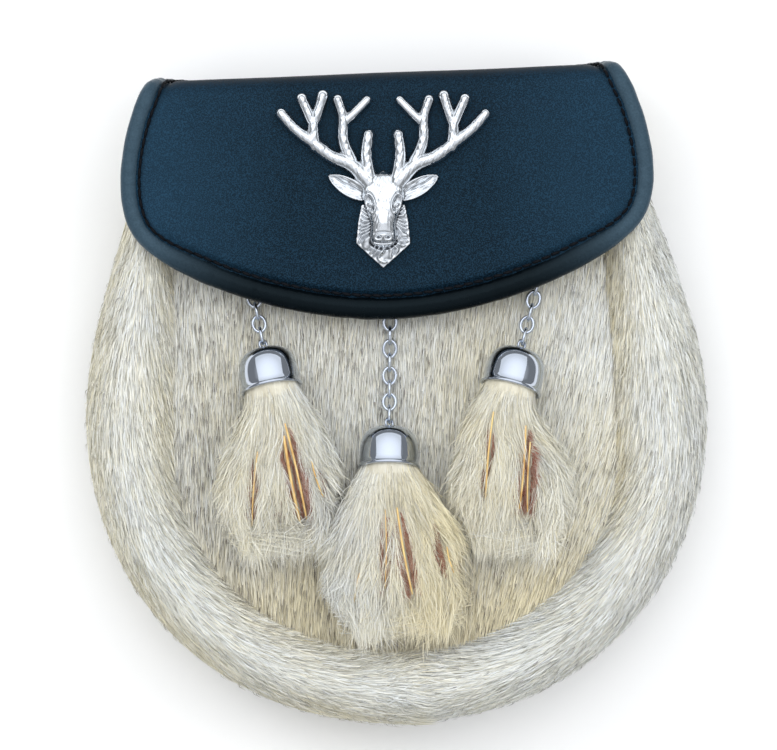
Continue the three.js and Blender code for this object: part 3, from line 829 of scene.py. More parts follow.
def coat_tones(rng, light, warm, guards, depth, rings=3, root=0.2):
    """Tone of each ring of each hair: pale from a root that is painted darker as painted shade
    among the hairs; the guard hairs are dark.
    """
    count = len(light)
    along = np.linspace(0, 1, rings)
    base = light + rng.normal(0, 0.09, count)
    dark = guards * depth * rng.uniform(0.45, 1, count)
    tones = np.zeros((count, rings, 3))
    shaft = dark[:, None] * np.clip(2 * along, 0.3, 1)
    # Painted shade: each hair is painted darker towards its root, by the root share.
    tones[..., 0] = base[:, None] + 0.05 - root * (1 - along) ** 2 - shaft
    tones[..., 1] = (warm + rng.normal(0, 0.16, count))[:, None]
    return np.clip(tones, 0, 1)


def front_height(x, y):
    """Height of the fur front, crowned inside the seam."""
    ring = both_sides(half_outline(SEAM, 40))
    middle = ring.mean(0)
    angle = np.arctan2(ring[:, 1] - middle[1], ring[:, 0] - middle[0])
    order = np.argsort(angle)
    reach = np.linalg.norm(ring - middle, axis=1)
    here = np.arctan2(y - middle[1], x - middle[0])
    edge = np.interp(here, angle[order], reach[order], period=2 * math.pi)
    share = np.clip(np.hypot(x - middle[0], y - middle[1]) / edge, 0, 1)
    return SEAM_FRONT + (PANEL_TOP - SEAM_FRONT) * (1 - share**3)


def front_lumps(places):
    """How unevenly the front is stuffed."""
    return 0.35 * drift(places, 30, 11)


def roll_section(width, around, inset):
    """Across and up of the gusset's roll: around is 0 at the front seam and 1 at the back seam."""
    slope = SEAM_SLOPE
    crown = width / 2
    reach = width - crown - inset
    top = ROLL_TOP - inset
    middle = ROLL_TOP / 2
    front = np.clip(around / slope, 0, 1)
    back = np.clip((1 - around) / slope, 0, 1)
    turn = math.pi * (0.5 - np.clip((around - slope) / (1 - 2 * slope), 0, 1))
    across = crown * np.minimum(front, back) + reach * np.cos(turn)
    arc_z = middle + (top - middle) * np.sin(turn)
    front_z = top - (ROLL_TOP - SEAM_FRONT) * (1 - front) ** 2
    back_z = inset + SEAM_BACK * (1 - back) ** 2
    z = np.where(around < slope, front_z, np.where(around > 1 - slope, back_z, arc_z))
    return across, z


def roll_grid(side, inset, rows=90, columns=56):
    """Points of the gusset's skin, from the mouth to the bottom and from front seam to back."""
    steps = rows // 2
    seam, outer = half_outline(SEAM, steps), half_outline(OUTER, steps)
    width = np.linalg.norm(outer - seam, axis=1)
    direction = unit(outer - seam)
    around = np.linspace(0, 1, columns)
    across, z = roll_section(width[:, None], around[None, :], inset)
    x = seam[:, None, 0] + direction[:, None, 0] * across
    y = seam[:, None, 1] + direction[:, None, 1] * across
    points = np.stack([side * np.maximum(x, 0.1), y, np.broadcast_to(z, x.shape)], axis=2)
    lump = drift(points, 26, 5) * 0.5 + drift(points, 60, 6) * 0.5
    swell = np.sin(math.pi * np.clip(around * 1.2, 0, 1))[None, :]
    points[:, :, 2] += lump * swell * 0.8
    return points


# ---- Operators: one for each piece or group of like pieces ----


class PieceOperator:
    """What the operators share."""

    bl_options = {"REGISTER", "UNDO"}


class POUCH_OT_stage(PieceOperator, bpy.types.Operator):
    """Makes the floor, the soft lights and the camera"""

    bl_idname = "pouch.stage"
    bl_label = "Stage"

    def execute(self, context):
        scene = context.scene
        scene.view_settings.view_transform = "Standard"
        self.add_camera(scene)
        self.add_floor(scene)
        self.add_world(scene)
        for row in LIGHTS:
            self.add_light(scene, **row)
        return {"FINISHED"}

    def add_camera(self, scene):
        """Straight above, from far enough that the height hardly changes the scale."""
        data = bpy.data.cameras.new("camera")
        data.sensor_width = 36
        data.lens = data.sensor_width * CAMERA["distance"] / CAMERA["field"]
        data.clip_end = 50
        camera = bpy.data.objects.new("camera", data)
        camera.location = (CAMERA["x"], CAMERA["y"], CAMERA["z"] + CAMERA["distance"])
        camera.rotation_euler = (0, 0, math.radians(CAMERA["roll"]))
        scene.collection.objects.link(camera)
        scene.camera = camera

    def add_floor(self, scene):
        half = 3.0
        mesh = bpy.data.meshes.new("floor")
        corners = [(-half, -half, 0), (half, -half, 0), (half, half, 0), (-half, half, 0)]
        mesh.from_pydata(corners, [], [(0, 1, 2, 3)])
        paint = Paint("floor")
        speckle = paint.noise(90, 2)
        tint = paint.mix(0.02 * speckle, grey(0.96), grey(0.9))
        mesh.materials.append(paint.surface(Base_Color=tint, Roughness=0.9, Specular_IOR_Level=0.1))
        floor = bpy.data.objects.new("floor", mesh)
        scene.collection.objects.link(floor)

    def add_world(self, scene):
        world = bpy.data.worlds.new("studio")
        world.use_nodes = True
        nodes, links = world.node_tree.nodes, world.node_tree.links
        place = nodes.new("ShaderNodeTexCoord")
        parts = nodes.new("ShaderNodeSeparateXYZ")
        ramp = nodes.new("ShaderNodeValToRGB")
        low, high = ramp.color_ramp.elements
        low.color, low.position = (0.26, 0.27, 0.28, 1), 0.45
        high.color, high.position = (0.84, 0.86, 0.9, 1), 0.92
        links.new(place.outputs["Generated"], parts.inputs[0])
        links.new(parts.outputs["Z"], ramp.inputs[0])
        links.new(ramp.outputs[0], nodes["Background"].inputs["Color"])
        nodes["Background"].inputs["Strength"].default_value = 1.0
        scene.world = world

    def add_light(self, scene, name, place, size, power, colour, mirrored):
        data = bpy.data.lights.new(name, "AREA")
        data.shape = "RECTANGLE"
        data.size, data.size_y = size
        data.energy = power
        data.color = colour
        light = bpy.data.objects.new(name, data)
        light.location = place
        target = Vector((0, 0, 0.03))
        light.rotation_euler = (target - light.location).to_track_quat("-Z", "Y").to_euler()
        light.visible_glossy = mirrored
        scene.collection.objects.link(light)


class POUCH_OT_front(PieceOperator, bpy.types.Operator):
    """Makes the fur front: its hide, and the coat combed downwards"""

    bl_idname = "pouch.front"
    bl_label = "Fur front"

    def execute(self, context):
        self.add_hide()
        self.add_coat(sizes_mm(context))
        return {"FINISHED"}

    def add_hide(self):
        half = half_outline(SEAM, 40)
        half[:, 0] = np.maximum(half[:, 0] - 0.3, 0)
        ring = np.vstack([half, half[1:-1][::-1] * [-1, 1]])
        ring[:, 1] += np.where(ring[:, 1] < 0, 0.3, -0.3)
        middle = ring.mean(0)
        shares = np.sqrt(np.linspace(0.0004, 1, 24))
        sheets = []
        flat = middle + shares[:, None, None] * (ring - middle)
        for drop, slack in ((FRONT_INSET, 1.0), (FUR_WALL, 0.0)):
            height = front_height(flat[..., 0], flat[..., 1]) - drop
            sheets.append(np.dstack([flat, height + slack * front_lumps(flat)]))
        skin = capped_loft(np.concatenate([sheets[0], sheets[1][::-1]]))
        add_piece("front_hide", *skin, FINISH["hide"], "fur", ["front_panel"])

    def add_coat(self, size):
        rng = np.random.default_rng(21)
        left, top, pitch = -72, 58, 2.0
        gx, gy = np.meshgrid(np.arange(left, 73, pitch), np.arange(top, -84, -pitch))
        lump = front_lumps(np.dstack([gx, gy]))
        hide = Hide(np.dstack([gx, gy, front_height(gx, gy) - FRONT_INSET + lump]))
        x, y = self.roots(rng, int(size["front_hairs"]))
        count = len(x)
        lean = 4 + 17 * smooth_step(2, 52, x) * (0.55 + 0.45 * smooth_step(30, -40, y))
        lean -= 4 * smooth_step(-10, -60, x)
        lean += 4 * drift(np.stack([x, y], 1), 22, 31) + rng.normal(0, 3.5, count)
        place = np.stack([x, y], 1)
        # A darker, more flecked patch on the left, low down.
        grey_zone = np.exp(-(((x + 60) / 14) ** 2 + ((y + 26) / 26) ** 2))
        flecks = 0.13 + 0.1 * grey_zone + 0.04 * drift(place, 20, 44) - 0.05 * smooth_step(0, 45, x)
        guards = rng.uniform(0, 1, count) < flecks
        length = size["coat_length"] * rng.uniform(0.65, 1.15, count) * np.where(guards, 0.45, 1)
        rise = size["coat_height"] * rng.uniform(0.5, 1.5, count) * np.where(guards, 1.3, 1)
        a, b = (top - y) / pitch, (x - left) / pitch
        bend = np.radians(rng.normal(0, 6, count))
        paths, normals = hide.comb(a, b, -np.radians(lean), bend, length, rise)
        warm = 0.34 + 0.2 * drift(place, 45, 41) + 0.6 * smooth_step(-20, -65, y)
        streaks = drift(place * [1, 0.12], 2.0, 43)
        light = 0.9 + 0.05 * drift(place * [1, 0.3], 7, 42) + 0.05 * streaks
        # The coat is lighter to the right and darker in the grey patch; low down it is painted
        # darker, a painted shadow under the tassels.
        light += 0.08 * smooth_step(8, 45, x) - 0.11 * smooth_step(-20, -60, y) - 0.05 * grey_zone
        tones = coat_tones(rng, light, warm, guards, 0.8)
        width = size["hair_width"] * rng.uniform(0.6, 1.25, count)
        roll = rng.normal(0, 0.55, count)
        add_hair("front_coat", paths, normals, width, tones, roll, FINISH["coat"], "fur")

    def roots(self, rng, count):
        """Places inside the seam, and not far under the flap."""
        half = half_outline(SEAM, 40)
        x = rng.uniform(-70, 70, count * 3)
        y = rng.uniform(-79, 56, count * 3)
        inside = np.abs(x) < np.interp(-y, -half[:, 1], half[:, 0]) - 0.5
        shown = y < 34 + 18 * smooth_step(25, 62, np.abs(x))
        chosen = np.flatnonzero(inside & shown)[:count]
        return x[chosen], y[chosen]


class POUCH_OT_gusset(PieceOperator, bpy.types.Operator):
    """Makes both halves of the padded fur gusset"""

    bl_idname = "pouch.gusset"
    bl_label = "Fur gusset"

    def execute(self, context):
        size = sizes_mm(context)
        for name, side in (("left", -1), ("right", 1)):
            self.add_hide(name, side)
            self.add_coat(name, side, size)
        return {"FINISHED"}

    def add_hide(self, name, side):
        outer, inner = roll_grid(side, ROLL_INSET), roll_grid(side, FUR_WALL)
        points, quads = folded_skin(outer, inner, turned=side > 0)
        replaced = [f"gusset_{name}"]
        made = f"gusset_hide_{name}"
        piece = add_piece(made, points, quads, [], FINISH["hide"], "fur", replaced)

    def add_coat(self, name, side, size):
        rng = np.random.default_rng(51 if side < 0 else 52)
        grid = roll_grid(side, ROLL_INSET)
        hide = Hide(grid)
        if side < 0:
            hide.turned_over()
        rows, columns = grid.shape[:2]
        a, b = self.roots(rng, hide, int(size["gusset_hairs"]))
        count = len(a)
        around = b / (columns - 1)
        inwards = -20 * (1 - around / SEAM_SLOPE)
        outwards = 17 * smooth_step(SEAM_SLOPE, 0.5, around)
        splay = np.where(around < SEAM_SLOPE, inwards, outwards)
        place = hide.place(a, b)
        end = smooth_step(0.93, 1.0, a / (rows - 1))
        # The halves meet at the bottom seam, where the right one's hair sweeps over.
        splay += end * (26 if side > 0 else 8)
        splay += 4 * drift(place, 20, 61) + rng.normal(0, 4.5, count)
        light, warm, flecks = self.tones(place, around, side)
        guards = rng.uniform(0, 1, count) < flecks
        length = size["coat_length"] * rng.uniform(0.7, 1.1, count) * (1 - 0.25 * end * (side > 0))
        length *= np.where(guards, 0.45, 1)
        rise = size["coat_height"] * rng.uniform(0.5, 1.4, count) * (1 + 0.5 * end * (side < 0))
        rise *= np.where(guards, 1.2, 0.9)
        bend = np.radians(rng.normal(0, 6, count))
        paths, normals = hide.comb(a, b, np.radians(splay), bend, length, rise)
        # The roots are painted only a little darker here, as painted shade among the hairs.
        tones = coat_tones(rng, light, warm, guards, 0.62, root=0.12)
        width = size["hair_width"] * rng.uniform(0.6, 1.3, count)
        roll = rng.normal(0, 0.55, count)
        made = f"gusset_coat_{name}"
        add_hair(made, paths, normals, width, tones, roll, FINISH["coat"], "fur")

    def roots(self, rng, hide, count):
        """Places in even spread over the skin, denser towards the front."""
        rows, columns = hide.points.shape[:2]
        area = np.linalg.norm(np.cross(hide.down, hide.across), axis=2)[:-1, :-1]
        around = np.linspace(0, 1, columns)[None, :-1]
        area = area * np.where(around < 0.55, 1.0, 0.55) * (around < 0.97)
        chance = (area / area.sum()).ravel()
        cell = rng.choice(len(chance), size=count, p=chance)
        row, column = np.divmod(cell, columns - 1)
        return row + rng.uniform(0, 1, count), column + rng.uniform(0, 1, count)

    def tones(self, place, around, side):
        """Lightness, warmth and share of dark guard hairs at each place."""
        x, y = place[:, 0], place[:, 1]
        flat = place[:, :2]
        crown = hump(around - 0.2, 0.12)
        light = 0.93 + 0.05 * crown + 0.03 * drift(place, 10, 71) + 0.02 * drift(flat, 40, 72)
        if side < 0:
            warm = 0.54 - 0.3 * crown + 0.12 * drift(flat, 40, 73)
            flecks = 0.07 + 0.04 * drift(flat, 25, 74) + 0.06 * (around < SEAM_SLOPE)
        else:
            band = hump(x - 66, 7) * smooth_step(-50, -20, y)
            warm = 0.18 + 0.55 * band + 0.12 * drift(flat, 40, 75)
            flecks = 0.1 + 0.05 * drift(flat, 25, 76)
        return light, warm, flecks


def fold_over(x, s, height):
    """The flat flap laid over the pouch: s is below 0 on the front and grows over the fold."""
    x, s, height = np.broadcast_arrays(np.asarray(x, float), np.asarray(s, float), height)
    first = np.clip(s / FOLD_RADIUS, 0, math.pi / 2)
    wall = np.clip(s - FOLD_ARC, 0, FOLD_WALL)
    second = np.clip((s - FOLD_END) / FOLD_RADIUS, 0, math.pi / 2)
    rear = np.maximum(s - FOLD_END - FOLD_ARC, 0)
    off_middle, off_centre = np.minimum(np.abs(x) / 76, 1), np.minimum(np.abs(s + 30) / 40, 1)
    dome = FLAP_DOME * (1 - off_middle**2) * (1 - off_centre**2)
    dome = dome * smooth_step(0, 8, -s)
    y = FOLD_Y + np.minimum(s, 0) + FOLD_RADIUS * (np.sin(first) - 1 + np.cos(second)) - rear
    fallen = FOLD_RADIUS * (1 - np.cos(first))
    z = FLAP_MID_Z - fallen - wall - FOLD_RADIUS * np.sin(second) + dome
    turn = first + second
    return np.stack([x, y + height * np.sin(turn), z + height * np.cos(turn)], axis=-1)


def flap_edge(count=420):
    """The flat flap's edge, right half, from the rear end to the middle of the front."""
    front = half_outline(FLAP, 60) - [0, FOLD_Y]
    rear_end = (FLAP_REAR_HALF, FOLD_END + FOLD_ARC + FLAP_REAR_LENGTH)
    rear = [rear_end, (FLAP_REAR_HALF, FOLD_END), (FLAP_FOLD_HALF, FOLD_ARC)]
    return evenly(np.vstack([rear, front]), count)


def edge_normals(edge):
    """Outward directions along the half edge, eased round its corners."""
    run = np.gradient(both_sides(edge), axis=0)
    kernel = np.ones(15) / 15
    x, y = (np.convolve(np.pad(column, 7, "edge"), kernel, "valid") for column in run.T)
    return unit(np.stack([-y, x], axis=1))[: len(edge)]


def inset_edge(share, extra=0.0, count=420):
    """The half edge drawn in by a share of the rolled edge's width and a few more millimetres."""
    edge = flap_edge(count)
    return edge - edge_normals(edge) * (share * roll_width(edge) + extra)[:, None]


def roll_width(edge):
    """Width of the rolled edge: slimmer up the sides than along the bottom."""
    bottom = smooth_step(77, 58, edge[:, 0]) * (edge[:, 1] < -20)
    return EDGE_SIDE_WIDTH + (EDGE_WIDTH - EDGE_SIDE_WIDTH) * bottom


class POUCH_OT_flap(PieceOperator, bpy.types.Operator):
    """Makes the leather flap, one sheet over the front and round the fold"""

    bl_idname = "pouch.flap"
    bl_label = "Flap"

    def execute(self, context):
        tuck = 0.5  # how far the sheet reaches in under the rolled edge
        inner = inset_edge(1, -tuck)
        low, high = inner[:, 1].min() + 0.02, inner[:, 1].max()
        near_fold = -6
        share = np.linspace(0, 1, 60)
        front = low + (near_fold - low) * share**1.6
        fold = np.linspace(near_fold, FOLD_END + FOLD_ARC, 64)[1:]
        rear = np.linspace(fold[-1], high, 8)[1:]
        rows = np.concatenate([front, fold, rear])
        order = np.argsort(inner[:, 1])
        half = np.interp(rows, inner[order, 1], inner[order, 0])
        columns = np.linspace(-1, 1, 65)
        x = half[:, None] * columns
        s = np.broadcast_to(rows[:, None], x.shape)
        offset = self.relief(x, s)
        upper = fold_over(x, s, FLAP_LEATHER / 2 + offset)
        under = fold_over(x, s, -FLAP_LEATHER / 2 + 0.25 * offset)
        points, quads = folded_skin(upper, under, turned=True)
        add_piece("flap_sheet", points, quads, [], FINISH["leather"], "leather", ["flap"])
        return {"FINISHED"}

    def relief(self, x, s):
        """Height of the surface over the flat leather: pulled down along the sewn channel."""
        away, _ = grid_distance(x, s, both_sides(inset_edge(1, 0.8, 160)))
        channel = -0.95 * hump(away, 1.0) - 0.35 * np.exp(-away / 3.5)
        pucker = 0.06 * np.exp(-away / 6) * drift(np.dstack([x, s]), 5, 81)
        waves = 0.12 * drift(np.dstack([x, s]), 55, 82)
        return channel + pucker + waves


class POUCH_OT_rolled_edge(PieceOperator, bpy.types.Operator):
    """Makes the flap's rolled edge and the stitches beside it"""

    bl_idname = "pouch.rolled_edge"
    bl_label = "Rolled edge"

    def execute(self, context):
        size = sizes_mm(context)
        self.add_roll()
        self.add_stitches(size)
        return {"FINISHED"}

    def add_roll(self):
        sides, steps = 22, 300
        middle = inset_edge(0.5, 0, steps)
        edge = flap_edge(steps)
        kept = middle[:, 1] <= FOLD_END
        half = roll_width(edge)[kept] / 2
        half_width = np.concatenate([half, half[:-1][::-1]])
        middle, normals = both_sides(middle[kept]), both_sides(edge_normals(edge)[kept])
        turn = np.linspace(0, 2 * math.pi, sides, endpoint=False)
        length = lengths_along(middle)
        run = np.stack([length, 0 * length], 1)
        crease = drift(run, 7, 91, 9) * 0.09
        puff = drift(run, 3.1, 92, 5) * 0.05
        reach = half_width[:, None] * np.cos(turn)[None] * (1 + 0.4 * crease[:, None])
        lobe = np.sin(turn)[None]
        thick = EDGE_THICKNESS / 2 * (half_width / half_width.max()) ** 0.5
        height = thick[:, None] * lobe * (1 + crease + puff)[:, None]
        x = middle[:, None, 0] + normals[:, None, 0] * reach
        s = middle[:, None, 1] + normals[:, None, 1] * reach
        # The edge turns with the leather round the fold, so it is laid over like the sheet.
        skin = capped_loft(fold_over(x, s, height))
        add_piece("rolled_edge", *skin, FINISH["edge"], "edge_leather", ["flap_rolled_edge"])

    def add_stitches(self, size):
        line = inset_edge(1, 0.65, 700)
        line = both_sides(line[line[:, 1] <= FOLD_END - 2])
        length = np.linalg.norm(np.diff(line, axis=0), axis=1).sum()
        count = int(length / size["stitch_pitch"])
        fine = 12
        line = evenly(line, count * fine + 1)
        parts = []
        for i in range(count):
            span = line[i * fine : i * fine + fine - 1]
            share = np.linspace(0, 1, len(span))
            arch = np.sin(math.pi * share)
            x, s = (span + 0.28 * (share - 0.5)[:, None] * np.array([0.0, 1.0])).T
            route = fold_over(x, s, 1.12 + 0.55 * arch**0.5)
            up = unit(fold_over(x, s, 3.0) - fold_over(x, s, 1.0))
            parts.append(tube(route, size["thread"] / 2 * (0.75 + 0.25 * arch), 6, up))
        add_piece("flap_stitches", *join_parts(parts), FINISH["thread"], "edge_leather")


class POUCH_OT_badge(PieceOperator, bpy.types.Operator):
    """Makes the stag's head badge in relief, with darkened hollows"""

    bl_idname = "pouch.badge"
    bl_label = "Stag badge"

    def execute(self, context):
        x, y = np.meshgrid(np.arange(-33.5, 33.6, BADGE_STEP), np.arange(-22, 34, BADGE_STEP))
        inside, height = self.relief(x, y)
        blurred = self.blur(np.where(inside > 0, height, 0.4), 4)
        recess = np.clip((blurred - height) * 1.7 - 0.08, 0, 1)
        recess = np.maximum(recess, 0.85 * smooth_step(0.22, 0.0, inside))
        points, triangles, tones = self.trimmed(x, y, inside, height, recess)
        turn = Matrix.Rotation(math.radians(BADGE["turn"]), 3, "Z")
        points = points @ np.array(turn).T + [BADGE["x"], BADGE["y"], BADGE["back_z"]]
        metal, replaced = FINISH["pewter"], ["stag_badge"]
        piece = add_piece("badge", points, [], triangles, metal, "badge_metal", replaced)
        add_attribute(piece, "recess", "FLOAT", "value", tones)
        return {"FINISHED"}

    def blur(self, field, reach):
        kernel = np.hanning(2 * reach + 3)[1:-1]
        kernel /= kernel.sum()
        for axis in (0, 1):
            field = np.apply_along_axis(np.convolve, axis, field, kernel, "same")
        return field

    def relief(self, x, y):
        """How far inside the casting each place is, and the casting's height there."""
        parts = [self.ruff(x, y)]
        for side in (1, -1):
            parts.append(self.ear(x * side, y))
            parts.extend(self.branch(x * side, y, row, side) for row in ANTLER)
        parts.append(self.face(x, y))
        inside = np.full(x.shape, -1e9)
        height = np.zeros(x.shape)
        for part_inside, part_height in parts:
            height = np.where(part_inside > 0, np.maximum(height, part_height), height)
            inside = np.maximum(inside, part_inside)
        return inside, np.maximum(height, 0.5)

    def branch(self, x, y, row, side):
        route = self.smooth_route(np.array(row["route"], float))
        away, along = grid_distance(x, y, route)
        length = np.linalg.norm(np.diff(route, axis=0), axis=1).sum()
        radius = 1.45 * (row["root"] + (1.12 * row["tip"] - row["root"]) * along)
        knobs = drift(np.dstack([along * length + side, 0 * along]), 3.4, 101, 5)
        radius = radius * (1 + 0.05 * knobs)
        core = np.sqrt(np.clip(1 - (away / radius) ** 2, 0, 1))
        grooves = 0.09 * drift(np.dstack([x * 3.2, y * 1.2]), 2.2, 102, 6)
        height = 0.9 + radius * core * 1.25 + grooves * core
        return radius - away, height

    def smooth_route(self, corners):
        """A rounded line through the corners."""
        padded = np.vstack([2 * corners[0] - corners[1], corners, 2 * corners[-1] - corners[-2]])
        t = np.linspace(0, 1, 7)[:-1, None]
        runs = []
        for a, b, c, d in zip(padded, padded[1:], padded[2:], padded[3:]):
            curve = 2 * b + (c - a) * t + (2 * a - 5 * b + 4 * c - d) * t**2
            runs.append((curve + (3 * b - a - 3 * c + d) * t**3) / 2)
        return np.vstack([*runs, corners[-1:]])

    def face(self, x, y):
        """The long face: its crown, the eyes, the nose and the engraved hair."""
        rows_y = [row["y"] for row in FACE]
        half, rise = (
            self.blur(np.interp(y, rows_y, [row[key] for row in FACE], left=0, right=0), 5)
            for key in ("half", "rise")
        )
        inside = np.where(half > 0.3, half - np.abs(x), -1)
        core = np.sqrt(np.clip(1 - (x / np.maximum(half, 0.3)) ** 2, 0, 1))
        height = 1.2 + (rise - 0.6) * core**0.5
        height += 0.45 * hump(x, 1.7) * smooth_step(-11, -6, y) * smooth_step(6, 1, y)
        cheek = np.abs(x)
        # Tall almond eyes in raised rims, leaning in at the bottom.
        eye_x = cheek - 4.1 - 0.16 * (y + 0.7)
        around_eye = np.hypot(eye_x / 1.5, (y + 0.7) / 2.9)
        ball = np.hypot(eye_x - 0.1, y + 1.0)
        height += 0.8 * hump(around_eye - 1, 0.22)
        height -= 0.5 * hump(around_eye, 0.75, 4)
        height += 0.75 * hump(ball, 0.72, 4)
        height -= 0.4 * hump(ball, 0.25)
        # Nose pad, nostrils and mouth.
        pad = smooth_step(-9.3, -10.2, y) * smooth_step(-12.6, -11.9, y)
        height += 0.35 * pad * smooth_step(3.1, 2.4, cheek)
        height -= 0.5 * hump(y + 9.5 + 0.06 * x * x, 0.35) * (cheek < 2.9)
        height -= 1.2 * hump(cheek - 1.5, 0.62) * hump(y + 10.9, 0.42)
        lip = smooth_step(-10.8, -11.4, y) * smooth_step(-12.9, -12.5, y)
        height -= 0.6 * hump(x, 0.22) * lip
        height -= 0.9 * hump(y + 12.75 - 0.05 * x * x, 0.25) * (cheek < 2.8)
        # Engraved hair on the forehead and cheeks.
        strokes = drift(np.dstack([x * 2.6 + 0.5 * np.sign(x) * y, y * 0.7]), 1.25, 111, 8)
        smooth_nose = smooth_step(-6, -1, y) + smooth_step(1.2, 2.6, cheek)
        height += 0.17 * strokes * np.clip(smooth_nose, 0.25, 1) * (y > -9.3)
        return inside, height

    def ear(self, x, y):
        """A leaf-shaped ear with a raised rim and a combed hollow."""
        root, tip = np.array([5.4, 1.4]), np.array([16.6, 7.7])
        axis = unit(tip - root)
        length = np.linalg.norm(tip - root)
        along = ((x - root[0]) * axis[0] + (y - root[1]) * axis[1]) / length
        aside = -(x - root[0]) * axis[1] + (y - root[1]) * axis[0]
        wide = 2.95 * np.clip(np.sin(math.pi * np.clip(along * 0.86 + 0.14, 0, 1)), 0, 1) ** 0.65
        wide = np.where((along > -0.05) & (along < 1), wide, 0)
        share = np.clip(np.abs(aside) / np.maximum(wide, 0.05), 0, 1)
        hollow = 1.6 + 1.3 * share**2 - 1.5 * smooth_step(0.86, 1.0, share)
        fold = -0.75 * hump(aside - 0.55, 0.42)
        fold = fold * smooth_step(0.1, 0.3, along) * smooth_step(0.95, 0.7, along)
        strokes = 0.22 * drift(np.dstack([aside * 3 + along, along * length * 0.8]), 1.6, 121, 6)
        height = hollow + fold + strokes * smooth_step(0.95, 0.6, share)
        return np.where(wide > 0.1, wide - np.abs(aside), -1), height

    def ruff(self, x, y):
        """The neck's ruff, cut off to a point, with radial locks."""
        right = np.array(RUFF, float)
        away, _ = grid_distance(x, y, np.vstack([both_sides(right), right[:1]]))
        half = np.interp(-y, -right[:, 1], right[:, 0], left=0, right=0)
        inside = np.where((np.abs(x) < half) & (y < -1), away, -away)
        turn = np.arctan2(x, -(y + 5))
        out = np.hypot(x, y + 5)
        wobble = 0.16 * drift(np.dstack([x, y]), 5, 131)
        locks = np.cos((turn + wobble) * 34 + 0.5 * np.sin(out * 1.6))
        combed = 0.42 * locks * smooth_step(0.35, 1.0, away)
        height = 1.5 + 1.1 * smooth_step(0, 4.5, away) + combed
        height += 0.08 * drift(np.dstack([x, y]), 1.3, 132)
        height -= 0.8 * hump(y + 14.4 - 0.12 * x * x, 0.5) * (np.abs(x) < 4.2)
        return inside, height

    def trimmed(self, x, y, inside, height, recess):
        """The relief cut along its outline, with a wall down to a flat back."""
        rows, columns = x.shape
        places, tones, triangles, index = [], [], [], {}

        def corner(r, c):
            key = (r, c)
            if key not in index:
                index[key] = len(places)
                places.append((x[r, c], y[r, c], height[r, c]))
                tones.append(recess[r, c])
            return index[key]

        def crossing(first, second):
            key = (*min(first, second), *max(first, second))
            if key not in index:
                f, g = inside[first], inside[second]
                share = min(max(f / (f - g), 0.02), 0.98)
                px = x[first] + share * (x[second] - x[first])
                py = y[first] + share * (y[second] - y[first])
                index[key] = len(places)
                solid = first if f > 0 else second
                places.append((px, py, height[solid] * 0.45))
                tones.append(0.9)
            return index[key]

        walls = []
        full = (inside > 0).astype(int)
        total = full[:-1, :-1] + full[1:, :-1] + full[:-1, 1:] + full[1:, 1:]
        for r, c in zip(*np.nonzero(total)):
            loop = [(r, c), (r, c + 1), (r + 1, c + 1), (r + 1, c)]
            polygon, cut = [], []
            for here, ahead in zip(loop, loop[1:] + loop[:1]):
                if inside[here] > 0:
                    polygon.append(corner(*here))
                if (inside[here] > 0) != (inside[ahead] > 0):
                    made = crossing(here, ahead)
                    polygon.append(made)
                    cut.append((made, inside[here] > 0))
            for i in range(1, len(polygon) - 1):
                triangles.append((polygon[0], polygon[i], polygon[i + 1]))
            if len(cut) == 2:
                leaving = next(m for m, out in cut if out)
                entering = next(m for m, out in cut if not out)
                walls.append((leaving, entering))
        top = np.array(places)
        count = len(top)
        base = top * [1, 1, 0]
        faces = np.array(triangles)
        under = faces[:, ::-1] + count
        side = [(b, a, a + count) for a, b in walls]
        side += [(b, a + count, b + count) for a, b in walls]
        tones = np.concatenate([tones, np.full(count, 0.5)])
        return np.vstack([top, base]), np.vstack([faces, under, side]), tones


def bell_matrix(row):
    """From the upright bell to its place: lying down, its mouth tipped up, leaning."""
    move = Matrix.Translation((row["x"], row["y"], CAP["mouth_z"]))
    lean = Matrix.Rotation(math.radians(row["lean"]), 4, "Z")
    lie = Matrix.Rotation(math.radians(-90 - CAP["tilt"]), 4, "X")
    return np.array(move @ lean @ lie)


def moved(points, matrix):
    return points @ matrix[:3, :3].T + matrix[:3, 3]


